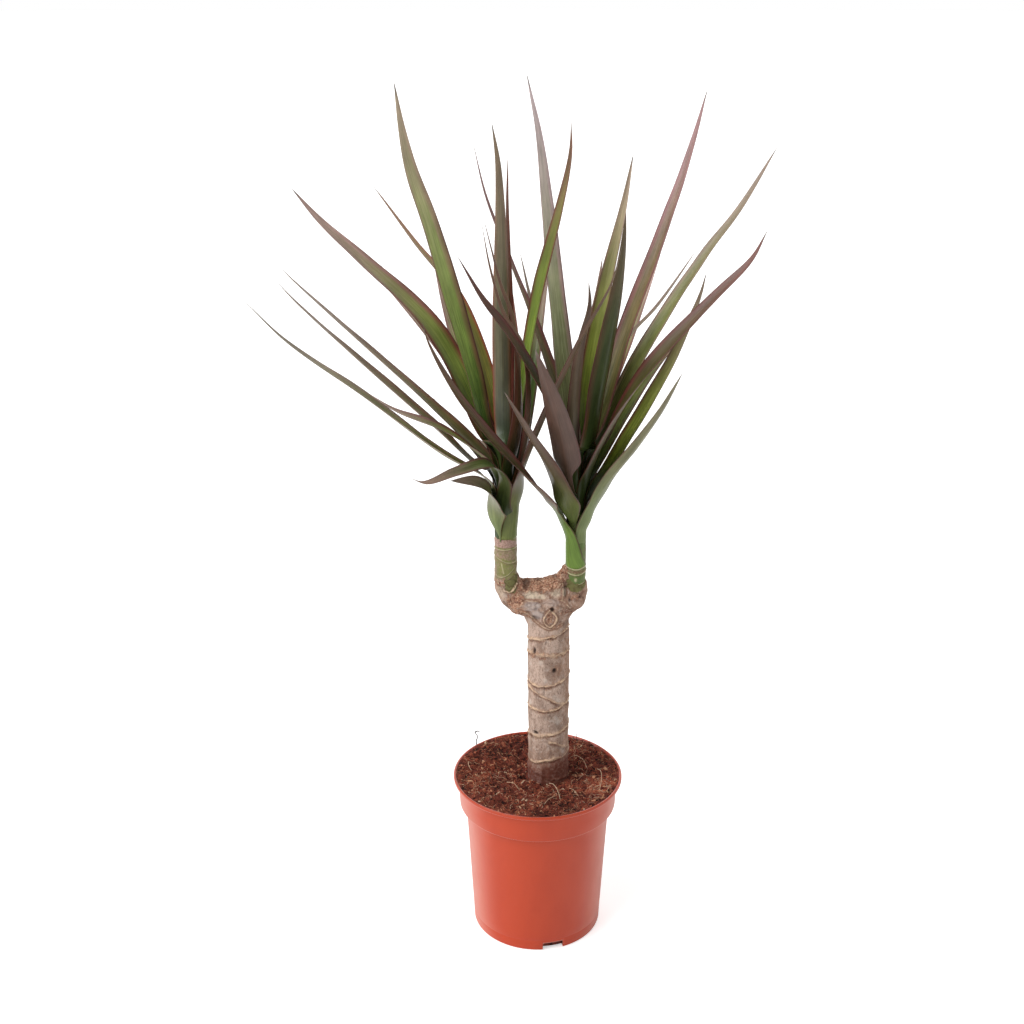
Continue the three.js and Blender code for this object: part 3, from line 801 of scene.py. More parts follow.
barkPaint = {
    "bark": (197, 171, 155), "barkDark": (122, 98, 84), "brown": (158, 118, 94), "pale": (216, 202, 190),
    # the darkest brown on the next line is painted shade in grooves, crevices and cracks
    "speck": (88, 64, 52), "grey": (186, 172, 166), "scar": (232, 200, 168), "shadedGroove": (84, 56, 44),
    # the crumbs' dark colour is painted shade between them, their pale colour painted light on their tops
    "crumb": (188, 132, 104), "crumbDark": (78, 46, 36), "crumbPale": (236, 200, 170),
    # the hole colour is painted shade inside the holes
    "cream": (222, 204, 180), "hole": (44, 28, 22), "damp": (108, 58, 44), "skin": (108, 108, 60),
    "rough": 0.8, "specular": 0.3,
}
# how far the parts of the relief stand out, and where the cane, its damp foot and its flake end
barkRise = {
    "wander": 0.95, "scar": 1.8, "shadedGroove": 0.9, "grooveBelow": 1.5, "bulge": 0.35, "bulgeBelow": 4.5,
    "hole": 0.9, "wrinkles": 0.1, "waves": 0.22, "swells": 0.3, "crumbs": 0.55, "crevices": 0.55,
    "cracks": 0.16, "lumps": 0.5, "flake": 0.9, "caneEnds": (236, 241), "dampEnds": (123, 135),
    "dampLean": 6, "flakeEnds": (124, 128), "fadeTurn": 12,
}
barkMasks = ("shown", "shadedGroove", "crumb", "cream", "grey", "hole", "damp", "brown", "skin")
farGap = 9.0                      # what the gap mask says where no line is near
# leaf scars as (degrees round the trunk, height): -90 is the front, 0 the right; the back is a guess
leafScars = [
    {"width": 0.7, "raise": 0.5, "knots": [(-270, 229), (-225, 225), (-180, 224.5), (-161, 225.6),
     (-98, 230.5), (-48, 232.6), (0, 234), (90, 229)]},
    {"width": 1.3, "raise": 0.25, "crumbly": 1, "knots": [(-270, 214), (-180, 214.5), (-154, 215.8),
     (-98, 216.7), (-34, 216.9), (0, 217.5), (90, 214)]},
    {"width": 0.75, "raise": 0.5, "knots": [(-270, 197), (-200, 194.6), (-155, 193.2), (-112, 192.6),
     (-60, 195.4), (-20, 198.3), (30, 199.5), (90, 197)]},
    {"width": 0.55, "raise": 0.3, "open": True, "knots": [(-200, 190.5), (-144, 188.2), (-120, 186),
     (-95, 183.5), (-60, 179), (-27, 177), (20, 176.5)]},
    {"width": 0.75, "raise": 0.5, "knots": [(-270, 176), (-200, 174), (-163, 173.2), (-112, 173.6),
     (-60, 176.2), (-19, 178.4), (30, 178.8), (90, 176)]},
    {"width": 0.95, "raise": 0.45, "crumbly": 0.45, "knots": [(-270, 153), (-210, 150.5), (-180, 150.2),
     (-150, 152.6), (-116, 153.6), (-60, 156.4), (-17, 158.4), (40, 158), (90, 153)]},
    {"width": 0.55, "raise": 0.3, "open": True, "knots": [(-96, 150.6), (-90, 149.6), (-57, 145.2),
     (-16, 141.2), (40, 140)]},
    {"width": 0.7, "raise": 0.4, "knots": [(-270, 136), (-200, 131), (-166, 130.2), (-126, 132),
     (-70, 135.4), (-25, 136.7), (30, 137), (90, 136)]},
    {"width": 0.8, "raise": 0.3, "open": True, "knots": [(-160, 128), (-146, 125.7), (-120, 123),
     (-101, 121), (-80, 118.2)]},
    {"width": 0.7, "raise": 0.4, "open": True, "knots": [(-90, 118), (-78, 118.4), (-50, 118.2),
     (-30, 118.8), (-14, 123.4), (10, 126)]},
    {"width": 0.7, "raise": 0.4, "open": True, "knots": [(-270, 121), (-230, 118), (-195, 117)]},
]
# places on the front of the fork and the trunk, by how they look: x, z, half width, half height and share
barkPlaces = {
    "skin": [(-19.2, 268, 5, 7, 1), (25, 267, 6.6, 5.6, 1)],
    "crumb": [(-7, 266, 11, 4.6, 0.9), (3, 267, 12, 5.5, 1), (13, 270, 5.5, 6, 0.9),
        (18.5, 277, 3.5, 9, 0.9), (-16.4, 256.5, 6.5, 7.5, 1), (-14.5, 248, 5.5, 5, 0.75),
        (-9.5, 245, 5, 3, 0.55), (19, 248.5, 5.5, 3, 0.7), (24, 258.5, 4.5, 3.2, 0.6),
        (7, 244.8, 2.6, 4.4, 1), (11, 238.5, 5.5, 2, 0.6), (12.6, 206.5, 2.6, 2.4, 0.55)],
    "cream": [(-5.4, 261.4, 5.4, 3.6, 0.75), (1.2, 259.6, 4.4, 2.2, 0.6), (10.8, 262.2, 4.4, 3.4, 0.6),
        (14, 266, 1.6, 3.4, 0.8), (17, 262.5, 1.4, 3, 0.7), (-25.5, 262, 4, 7, 0.45)],
    "grey": [(-5, 253, 7, 4.5, 0.6), (8, 256, 8, 3, 0.45), (-1, 247, 6, 4, 0.6)],
    # holes are painted near black, as the shade inside them
    "hole": [(0.6, 259.3, 0.9, 0.8, 0.45), (8.9, 251.4, 1.5, 1.5, 1), (-2.4, 251, 1.5, 0.9, 0.35),
        (28, 258.4, 0.9, 0.9, 0.6), (20.6, 257.6, 0.9, 1.4, 0.6), (-3, 218.6, 1.1, 2.6, 1),
        (10.8, 205, 1.6, 1.7, 1), (-1.8, 155.3, 1.6, 1.1, 1), (4, 190, 0.5, 4.2, 0.5),
        (5, 226.5, 0.8, 1.6, 0.45), (18, 263.5, 1.5, 5, 0.6), (-8.6, 266.5, 2.8, 2.6, 0.6),
        (-2.5, 244.6, 3, 2.4, 0.55), (19, 238.6, 3, 2.6, 0.45)],
    "brown": [(18.5, 262, 3.4, 7, 1), (-14, 262, 3, 4, 0.9), (2, 257, 9, 1.2, 0.8)],
}
# thin raised lines on the fork: the bud scar's lips, the V below it and the cracks of the right lobe
barkLines = [
    {"width": 0.9, "raise": 0.35, "shown": 0.9, "path": [(-24, 263.6), (-20.5, 262.4), (-17.5, 264.2),
     (-15.2, 267.6)]},
    {"width": 0.62, "raise": 0.5, "shown": 0.9, "path": [(7.6, 251), (4.4, 247.5), (3.2, 244), (4.6, 240.6),
     (7.6, 238.6)]},
    {"width": 0.75, "raise": 0.5, "shown": 1, "path": [(7.6, 251), (10.4, 248.4), (12, 245), (10.8, 241),
     (7.6, 238.6)]},
    {"width": 0.5, "raise": 0.4, "shown": 0.75, "path": [(-13, 249.5), (-8.5, 247.5), (-5.3, 245.4),
     (-1.4, 241.8), (3, 238.6), (7, 236.8)]},
    {"width": 0.4, "raise": 0.25, "shown": 0.3, "path": [(7, 236.8), (12, 237.6), (16, 239)]},
    {"width": 0.42, "raise": 0.4, "shown": 0.7, "path": [(14.6, 257.5), (16.9, 256.6), (19.6, 253.4),
     (22.2, 250)]},
    {"width": 0.4, "raise": 0.3, "shown": 0.65, "path": [(8.3, 260.3), (11, 264), (14.7, 267.7)]},
    {"width": 0.42, "raise": 0.3, "shown": 0.65, "path": [(16, 268), (16.4, 262), (15.6, 258)]},
    {"width": 0.35, "raise": 0.2, "shown": 0.35, "path": [(-14, 262.5), (-10.5, 258), (-4, 256.6),
     (1, 257.4)]},
]
# a dry thread of fibre that stands up from the fork
dryThread = {"path": [(-12.6, -1, 270), (-11.9, -1.6, 276), (-11.4, -1.8, 280), (-10.2, -1.6, 285)],
             "radius": 0.16, "crumb": 0.6, "brown": 0.5}


def trunkAxisX(z):
    return trunkSize["axisX"] + trunkSize["lean"] * (trunkSize["axisZ"] - z)


def chainDistance(points, chain):
    # distance to a chain of (x, z, radius) stations in the plane of the fork
    nearest = np.full(len(points), 1e9)
    for (x0, z0, r0), (x1, z1, r1) in zip(chain[:-1], chain[1:]):
        start = np.array([x0, axisY, z0])
        along = np.array([x1 - x0, 0, z1 - z0], float)
        share = np.clip((points - start) @ along / (along @ along), 0, 1)
        gap = np.linalg.norm(points - start - share[:, None] * along, axis=1) - lerp(r0, r1, share)
        nearest = np.minimum(nearest, gap)
    return nearest


def softUnion(a, b, reach):
    share = np.clip(0.5 + 0.5 * (b - a) / reach, 0, 1)
    return b + (a - b) * share - reach * share * (1 - share)


def trunkDistance(points):
    # distance to the smooth cane and fork, which the bark's relief then stands on
    size = trunkSize
    shape = chainDistance(points, [(trunkAxisX(size["foot"]), size["foot"], size["radius"] - 0.4),
                                   (trunkAxisX(size["top"]), size["top"] - 2, size["radius"])])
    for arm in forkArms:
        shape = softUnion(shape, chainDistance(points, size[arm]), size["blend"])
    return shape


def slopeOf(field, points, reach=0.05):
    # which way the field grows fastest at each point
    slope = np.zeros_like(points)
    for axis in range(3):
        step = np.zeros(3)
        step[axis] = reach
        slope[:, axis] = (field(points + step) - field(points - step)) / (2 * reach)
    return slope / np.maximum(np.linalg.norm(slope, axis=1), 1e-6)[:, None]


def ballsAlong(chain):
    # balls that overlap along a chain, so that the remesh joins them into one rough body
    balls = []
    for (x0, z0, r0), (x1, z1, r1) in zip(chain[:-1], chain[1:]):
        count = max(1, int(math.hypot(x1 - x0, z1 - z0) / trunkSize["ballSpacing"]))
        for step in range(count + 1):
            share = step / count
            balls.append(((lerp(x0, x1, share), axisY, lerp(z0, z1, share)), lerp(r0, r1, share)))
    return balls


def roughTrunk():
    # an even mesh close to the trunk's shape, from balls that a remesh joins
    size = trunkSize
    ball, ballFaces = crumbShape()
    column = [(trunkAxisX(height), height, size["radius"]) for height in (size["foot"], size["top"])]
    body = Bundle()
    for chain in [column] + [size[arm] for arm in forkArms]:
        for centre, radius in ballsAlong(chain):
            body.add(ball * radius * size["ballSwell"] + np.array(centre), ballFaces, 0)
    rough = newObject("roughTrunk", np.vstack(body.points), body.faces)
    remesh = rough.modifiers.new("remesh", "REMESH")
    remesh.mode = "VOXEL"
    remesh.voxel_size = size["voxel"] * mm
    applyModifiers(rough)
    points = np.zeros(len(rough.data.vertices) * 3)
    rough.data.vertices.foreach_get("co", points)
    faces = [tuple(polygon.vertices) for polygon in rough.data.polygons]
    bpy.data.objects.remove(rough)
    return points.reshape(-1, 3) / mm, faces


def pathDistance(x, z, path):
    # distance in the x, z plane to a smooth line through the path's points
    line = throughPoints(path, 24)
    nearest = np.full(len(x), 1e9)
    for start, end in zip(line[:-1], line[1:]):
        along = end - start
        share = np.clip(((x - start[0]) * along[0] + (z - start[1]) * along[1]) / (along @ along), 0, 1)
        gap = np.hypot(x - start[0] - share * along[0], z - start[1] - share * along[1])
        nearest = np.minimum(nearest, gap)
    return nearest


def plainMasks(count):
    masks = {name: np.zeros(count) for name in barkMasks}
    masks["gap"] = np.full(count, farGap)
    return masks


def raiseMask(masks, name, values):
    masks[name] = np.maximum(masks[name], values)


def keepNearest(masks, gap, near, shown):
    # each point is painted for the line that is nearest to it
    nearer = (gap < masks["gap"]) & near
    masks["gap"] = np.where(nearer, gap, masks["gap"])
    masks["shown"] = np.where(nearer, shown, masks["shown"])


def addScars(points, angle, height, masks):
    # a raised line for each fallen leaf, with a sunken furrow and a soft bulge below it; the furrow is
    # painted dark as shade
    rise = barkRise
    z = points[:, 2]
    wander = rise["wander"] * roughness(points, 6, 3, 5)
    strength = 0.7 + 0.3 * roughness(points, 5, 2, 31)
    swell = 1 + 0.5 * roughness(points, 4, 2, 37)
    breadth = np.maximum(0.2, 0.9 + 1.2 * roughness(points, 3.4, 3, 83))
    onCane = 1 - ease(z, *rise["caneEnds"])
    for scar in leafScars:
        knots = scar["knots"]
        gap = z - throughKnots(knots, angle) - wander
        shown = np.ones(len(points))
        if scar.get("open"):
            first, last, turn = knots[0][0], knots[-1][0], rise["fadeTurn"]
            shown = ease(angle, first, first + turn) * (1 - ease(angle, last - turn, last))
        shown = shown * onCane * strength
        shadedGroove = bump(gap + rise["grooveBelow"], 1.0)
        edge = rise["scar"] * bump(gap, scar["width"]) - rise["shadedGroove"] * shadedGroove
        height += shown * swell * scar["raise"] * edge
        height += shown * rise["bulge"] * bump(gap + rise["bulgeBelow"], 3.0)
        keepNearest(masks, np.abs(gap) / (breadth * scar["width"] + 0.3), shown > 0.04, shown)
        raiseMask(masks, "shadedGroove", shown * shadedGroove)
        raiseMask(masks, "brown", shown * bump(gap + 0.6, 2.6))
        raiseMask(masks, "crumb", shown * scar.get("crumbly", 0) * bump(gap + 0.6, 3.0))


def addPlaces(points, front, height, masks):
    x, z = points[:, 0], points[:, 2]
    ragged = 0.2 * roughness(points, 3.0, 3, 8)
    for mask, places in barkPlaces.items():
        for placeX, placeZ, halfWidth, halfHeight, share in places:
            away = np.hypot((x - placeX) / halfWidth, (z - placeZ) / halfHeight) + ragged
            patch = (1 - ease(away, 0.45, 1.35)) * front * share
            raiseMask(masks, mask, patch)
            # each hole is dented, and painted dark as shade inside
            if mask == "hole":
                height -= barkRise["hole"] * patch


def addLines(points, front, height, masks):
    waver = 0.15 * roughness(points, 2, 2, 6)
    for line in barkLines:
        gap = pathDistance(points[:, 0], points[:, 2], line["path"]) + waver
        height += line["raise"] * bump(gap, 1.1 * line["width"]) * front
        near = (gap < 4) & (front > 0.1)
        keepNearest(masks, np.abs(gap) / (0.7 * line["width"]), near, line["shown"] * front)
        # painted shade just beside each raised line
        raiseMask(masks, "shadedGroove", 0.7 * line["shown"] * front * bump(gap - 1.0, 0.6))
        raiseMask(masks, "brown", 0.8 * bump(gap - 1.0, 1.2) * front)


def addForkBark(points, front, masks):
    # the fork's back and sides: the same crumbly collars below both stems and along the saddle
    z = points[:, 2]
    back = 1 - front
    forkTop = ease(z, 262, 268)
    collars = np.maximum(bump(chainDistance(points, [(-20, 262, 8), (-12, 258, 8)]) - 2, 4), forkTop)
    raiseMask(masks, "crumb", 0.9 * back * collars * ease(z, 246, 252))
    raiseMask(masks, "crumb", 0.9 * ease(z, 264, 267.5))
    masks["crumb"] *= 1 - masks["skin"]
    raiseMask(masks, "cream", back * 0.7 * bump(roughness(points, 6, 2, 22), 0.16) * ease(z, 240, 250))


def addDamp(points, angle, masks):
    # the trunk's foot is damp, higher up on its right, and its scars show less there
    reach = barkRise["dampLean"] * ease(angle, -130, -60) + 2 * roughness(points, 5, 2, 2)
    masks["damp"] = 1 - ease(points[:, 2] - reach, *barkRise["dampEnds"])
    masks["shown"] *= 1 - 0.6 * masks["damp"]


def addFineRelief(points, height, masks):
    # lengthwise wrinkles and cracks on the cane, grains where the bark is crumbly, crevices on the fork; the
    # crevices and cracks are painted dark as shade
    rise = barkRise
    z = points[:, 2]
    height += rise["wrinkles"] * roughness(points * np.array([1, 1, 0.25]), 1.6, 3, 40)
    height += rise["waves"] * roughness(points, 6.5, 2, 44) + rise["swells"] * roughness(points, 15, 2, 71)
    height += masks["crumb"] * (rise["crumbs"] * roughness(points, 1.9, 3, 50) + 0.1)
    height += (z > 240) * rise["lumps"] * roughness(points, 9, 3, 61)
    crevices = bump(roughness(points, 6, 3, 91), 0.13) * ease(z, 238, 247)
    cracks = bump(roughness(points * np.array([1, 1, 0.3]), 5, 3, 95), 0.07) * (1 - ease(z, 236, 244))
    height -= rise["crevices"] * crevices + rise["cracks"] * cracks
    raiseMask(masks, "shadedGroove", np.maximum(0.5 * crevices, 0.4 * cracks))


def addBrownPartsAndShade(z, angle, masks):
    # browner at the fork, its foot and two stains on its front, and down the trunk's right side, where the
    # brown is painted shade
    for share in (0.45 * ease(z, 236, 244), 0.62 * ease(angle, -72, -24) * (1 - ease(angle, 50, 80)),
                  0.45 * (1 - ease(z, 130, 175)), 0.55 * bump(z - 205, 11) * bump(angle + 62, 32),
                  0.5 * bump(z - 219, 6) * bump(angle + 125, 30)):
        raiseMask(masks, "brown", share)


def addFlake(z, angle, height, masks):
    # the sheet of bark that stands away at the foot of the trunk, front left
    flake = (1 - ease(angle, -112, -100)) * ease(angle, -190, -178) * (1 - ease(z, *barkRise["flakeEnds"]))
    height += barkRise["flake"] * flake
    raiseMask(masks, "grey", 0.6 * flake)


def barkRelief(points):
    # how far each point of the bark stands out, with the masks that its paint uses: each step below adds
    # to both in place
    x, y, z = points.T
    masks = plainMasks(len(points))
    height = np.zeros(len(points))
    angle = np.degrees(np.arctan2(y - axisY, x - trunkAxisX(z)))
    angle = np.where(angle > 90, angle - 360, angle)
    front = 1 - ease(y, axisY - 2, axisY + 5)
    addScars(points, angle, height, masks)
    addPlaces(points, front, height, masks)
    addLines(points, front, height, masks)
    addForkBark(points, front, masks)
    addDamp(points, angle, masks)
    addFineRelief(points, height, masks)
    addBrownPartsAndShade(z, angle, masks)
    addFlake(z, angle, height, masks)
    return height, masks


def barkMaterial():
    material, tree, shader = newMaterial("dragonTreeBark")
    paint = shaderColours(barkPaint)
    base = useGroup(tree, mottle, {"Colour": paint["bark"], "Dark": paint["barkDark"], "Stretch": (1, 1, 0.4),
                    "Patch Size": 7.0, "Patches": 0.75, "Grain Size": 0.7, "Grain": 0.85})
    place = objectPlace(tree)
    wide = noise(tree, place, 130.0, 4.0)
    coarse = noise(tree, place, 420.0, 4.0, 0.65)
    grains = noise(tree, place, 800.0, 4.0, 0.7)
    specks = noise(tree, place, 520.0, 5.0, 0.75)
    colour = blendColour(tree, smoothStep(tree, wide, 0.56, 0.7, 0.0, 0.6), base["Colour"], paint["pale"])
    share = patchy(tree, "brown", coarse, 1.4, -1.05)
    colour = blendColour(tree, smoothStep(tree, share, -0.2, 0.5, 0.0, 0.8), colour, paint["brown"])
    colour = blendColour(tree, smoothStep(tree, specks, 0.57, 0.66, 0.0, 0.7), colour, paint["speck"])
    colour = blendColour(tree, smoothStep(tree, specks, 0.34, 0.42, 0.55, 0.0), colour, paint["pale"])
    for mask, most in (("grey", 0.9), ("cream", 0.85)):
        share = smoothStep(tree, patchy(tree, mask, coarse, 0.9, -0.45), 0.2, 0.75, 0.0, most)
        colour = blendColour(tree, share, colour, paint[mask])
    # crumbs of dry bark, with painted shade between them and painted light on their tops
    crumbs = blendColour(tree, smoothStep(tree, grains, 0.5, 0.62), paint["crumb"], paint["crumbPale"])
    crumbs = blendColour(tree, smoothStep(tree, grains, 0.34, 0.46, 1.0, 0.0), crumbs, paint["crumbDark"])
    # darker patches across the crumbs, in the brown used for painted shade in grooves
    crumbs = blendColour(tree, smoothStep(tree, wide, 0.46, 0.64, 0.0, 0.45), crumbs, paint["shadedGroove"])
    crumbMask = smoothStep(tree, patchy(tree, "crumb", coarse, 2.0, -1.1), 0.1, 0.75)
    colour = blendColour(tree, multiply(tree, crumbMask, 0.85), colour, crumbs)
    # the stems' green skin that runs down over the fork, then the scars with painted shade in their grooves,
    # the holes painted dark as shade, and the damp foot
    share = patchy(tree, "skin", coarse, 0.8, -0.4)
    colour = blendColour(tree, smoothStep(tree, share, 0.3, 0.6, 0.0, 0.9), colour, paint["skin"])
    lines = drawLines(tree, colour, paint["scar"], paint["shadedGroove"])
    colour = blendColour(tree, readMask(tree, "hole"), lines["Colour"], paint["hole"])
    wet = multiply(tree, readMask(tree, "damp"), smoothStep(tree, coarse, 0.3, 0.6, 0.7, 1.0))
    colour = blendColour(tree, wet, colour, paint["damp"])
    relief = calculate(tree, "MULTIPLY_ADD", crumbMask, multiply(tree, grains, 2.2), base["Height"])
    relief = calculate(tree, "MULTIPLY_ADD", lines["Line Mask"], 0.9, relief)
    finishSurface(tree, shader, colour, barkPaint["rough"], relief, 1.0, 0.55)
    shader["Specular IOR Level"].default_value = barkPaint["specular"]
    return material


def makeTrunk(material):
    points, faces = roughTrunk()
    for _ in range(trunkSize["settling"]):
        slope = slopeOf(trunkDistance, points)
        points = points - slope * trunkDistance(points)[:, None]
    height, masks = barkRelief(points)
    points = points + slopeOf(trunkDistance, points) * height[:, None]
    makePiece("barkTrunk", points, faces, material, replaces=["trunk"], masks=masks)


def makeThread(material):
    path = smoothLine(dryThread["path"], 16)
    points, faces = thinTube(path, dryThread["radius"] * np.linspace(1.2, 0.4, len(path)))
    masks = plainMasks(len(points))
    for mask in ("crumb", "brown"):
        masks[mask] += dryThread[mask]
    makePiece("dryThread", points, faces, material, masks=masks)


bark = barkMaterial()
makeTrunk(bark)
makeThread(bark)
print("trunk ready")


# the two green stems, each with the core that its crown of leaves grows from

stemSize = {"sides": 96, "rowStep": 0.4, "coreRows": 40, "coreHeight": 66, "coreTipRadius": 1.6,
            "coreStep": 0.4, "shown": 0.85}
stems = {
    "left": {"x": -22.7, "radius": 7.6, "foot": 257.5, "footShift": 3.4, "bendTop": 274, "crown": 299},
    "right": {"x": 25, "radius": 6.8, "foot": 252, "footShift": -1.2, "bendTop": 266, "crown": 297},
}
# pale scar rings on the bare part, as (degrees, height) knots like the trunk's
stemRings = {
    "left": [
        {"width": 0.36, "raise": 0.28, "knots": [(-270, 291), (-180, 292), (-90, 292.6), (0, 293.5),
         (90, 291)]},
        {"width": 0.34, "raise": 0.28, "knots": [(-270, 286), (-180, 287.4), (-130, 285.6), (-90, 283.6),
         (-40, 283), (20, 285), (90, 286)]},
        {"width": 0.36, "raise": 0.3, "knots": [(-270, 279), (-200, 276), (-160, 273.4), (-120, 272.2),
         (-90, 273.4), (-50, 278), (-10, 283), (40, 284), (90, 279)]},
        {"width": 0.42, "raise": 0.3, "knots": [(-270, 268), (-180, 270.2), (-130, 267.4), (-90, 266.6),
         (-40, 268.8), (0, 270.5), (90, 268)]},
        {"width": 0.36, "raise": 0.3, "knots": [(-270, 262), (-180, 259), (-130, 257.4), (-90, 258),
         (-50, 262),
         (-10, 267.4), (30, 268), (90, 262)]},
    ],
    "right": [
        {"width": 0.6, "raise": 0.45, "knots": [(-270, 279), (-180, 279.4), (-90, 277.9), (0, 279.4),
         (90, 279)]},
        {"width": 0.6, "raise": 0.45, "knots": [(-270, 274), (-180, 275.6), (-90, 273.9), (0, 275.8),
         (90, 274)]},
        {"width": 0.36, "raise": 0.3, "knots": [(-270, 268), (-180, 268.4), (-90, 266.6), (0, 268),
         (90, 268)]},
    ],
}
stemPaint = {
    "left": {"green": (128, 128, 68), "olive": (92, 92, 46), "brown": (180, 146, 134),
             "husk": (146, 112, 98)},
    "right": {"green": (96, 120, 46), "olive": (70, 88, 38), "brown": (146, 120, 94),
              "husk": (112, 90, 60)},
    # the second colour here is painted shade in the furrow below each ring
    "ring": (200, 190, 152), "shadedGroove": (112, 92, 66), "rough": 0.45,
}


def stemAxisX(stem, z):
    bend = np.clip((stem["bendTop"] - z) / (stem["bendTop"] - stem["foot"]), 0, 1)
    return stem["x"] + stem["footShift"] * bend ** 2


def stemMaterial(crown):
    material, tree, shader = newMaterial(crown + "StemSkin")
    paint = shaderColours(stemPaint[crown])
    skin = useGroup(tree, mottle, {"Colour": paint["green"], "Dark": paint["olive"], "Stretch": (1, 1, 0.3),
                    "Patch Size": 5.0, "Patches": 0.7, "Grain Size": 0.5, "Grain": 0.4})
    place = objectPlace(tree)
    coarse = noise(tree, place, 420.0, 4.0, 0.65)
    flecks = noise(tree, place, 900.0, 4.0, 0.7)
    husk = blendColour(tree, smoothStep(tree, flecks, 0.42, 0.58), paint["husk"], paint["brown"])
    share = patchy(tree, "brown", coarse, 1.3, -0.5)
    colour = blendColour(tree, smoothStep(tree, share, 0.05, 0.85, 0.0, 0.95), skin["Colour"], husk)
    ring, shadedGroove = screenColour(*stemPaint["ring"]), screenColour(*stemPaint["shadedGroove"])
    lines = drawLines(tree, colour, ring, shadedGroove, wander=0.6, whole=0.6)
    finishSurface(tree, shader, lines["Colour"], stemPaint["rough"], skin["Height"], 0.35, 0.2)
    return material


def leftMarks(angle, z):
    # husk above the top ring, at the foot and down both sides, and how far a pale upright crack is
    husk = np.maximum(ease(z, 293.4, 294.6) * (1 - ease(z + 0.05 * (angle + 90), 299.5, 301.5)),
                      1 - ease(z + 0.05 * angle, 256, 263))
    for share in (0.5 * bump(z - 269, 2.6), 0.4 * bump(angle + 175, 42) + 0.35 * bump(angle, 35),
                  0.3 * ease(z, 282, 287) * (1 - ease(z, 292, 293))):
        husk = np.maximum(husk, share)
    crack = np.abs(angle + 108 + 1.6 * (z - 280)) / 3.4
    return husk, crack + farGap * (1 - ease(z, 274, 275)) + farGap * ease(z, 282.6, 283.6)


def rightMarks(angle, z):
    # husk round a ring, at the foot and down the right side, and how far a pale spot is
    husk = np.maximum(0.75 * bump(z - 275.9, 1.1), 1 - ease(z, 255, 259))
    husk = np.maximum(husk, 0.5 * bump(angle, 26) * (1 - ease(z, 292, 300)))
    return husk, np.hypot((angle + 92) * 0.12, (z - 270.2) * 0.7)


def makeStem(crown, marksOf):
    stem = stems[crown]
    size = stemSize
    top = stem["crown"] + size["coreHeight"]
    heights = np.concatenate([np.arange(stem["foot"], stem["crown"] + 3, size["rowStep"]),
                              np.linspace(stem["crown"] + 4, top, size["coreRows"])])
    angle, z = np.meshgrid(np.linspace(-270, 90, size["sides"], endpoint=False), heights)
    angle, z = angle.ravel(), z.ravel()
    radius = stem["radius"] - size["coreStep"] * ease(z, stem["crown"] - 1, stem["crown"] + 1)
    radius = lerp(radius, size["coreTipRadius"], np.clip((z - stem["crown"]) / size["coreHeight"], 0, 1))
    turn = np.radians(angle)
    around = onPlane(np.cos(turn), np.sin(turn))
    middle = np.stack([stemAxisX(stem, z), np.full_like(z, axisY), z], 1)
    points = middle + around * radius[:, None]
    husk, gaps = marksOf(angle, z)
    gaps = np.minimum(gaps, farGap)
    shadedGroove = np.zeros(len(points))
    wander = 0.3 * roughness(points, 6, 2, 5)
    for ring in stemRings[crown]:
        gap = z - throughKnots(ring["knots"], angle) - wander
        radius = radius + ring["raise"] * (bump(gap, ring["width"]) - 0.6 * bump(gap + 1.1, 0.7))
        radius = radius + 0.22 * bump(gap + 3.2, 2.2)
        gaps = np.minimum(gaps, np.abs(gap) / (0.75 * ring["width"]))
        # painted shade in the furrow below each ring
        shadedGroove = np.maximum(shadedGroove, 0.6 * bump(gap + 0.9, 0.55))
    wrinkle = roughness(points * np.array([1, 1, 0.3]), 1.4, 2, 4)
    radius = radius + 0.06 * wrinkle + 0.12 * roughness(points, 5, 2, 14)
    masks = {"gap": gaps, "shadedGroove": shadedGroove, "shown": np.full(len(points), size["shown"]), "brown": husk}
    points = middle + around * radius[:, None]
    node = "stem_" + crown
    makePiece(crown + "StemColumn", points, tubeFaces(len(heights), size["sides"]), stemMaterial(crown),
              replaces=[node], masks=masks)


makeStem("left", leftMarks)
makeStem("right", rightMarks)
print("stems ready")


# the leaves

leafSize = {
    "stations": 58, "stationPower": 1.25, "lanes": 17, "firstRoot": 1.5, "rootStep": 2.8, "clearance": 0.3,
    "rootThickness": 1.1, "collar": 14, "leastLean": 7, "leanShare": 0.2, "mostLean": 19, "sink": 12,
    "sinkDepth": 0.5, "lowPoint": 2.5, "tangentReach": 0.6, "taperShare": 0.68, "taperPower": 0.85,
    "neckAt": 0.12, "neckSpan": 0.07, "neckDepth": 0.06, "turnsAt": 0.08, "turnsTo": 0.6, "wrap": 1.3,
    "clasp": 26, "bladeAngle": 0.3, "mostWrap": 2.4, "fold": 0.26, "foldRun": 40, "foldRound": 0.03,
    "ripple": 0.22, "sway": 0.1, "waver": 0.025, "keelThickness": 0.75, "edgeThickness": 0.22,
    "rootThin": 0.4, "tipThin": 0.7, "tipWidth": 0.35, "sheathReach": 40.0,
}


def form(width, twist, look, through, **more):
    return {"width": width, "twist": twist, "look": look, "through": through, **more}


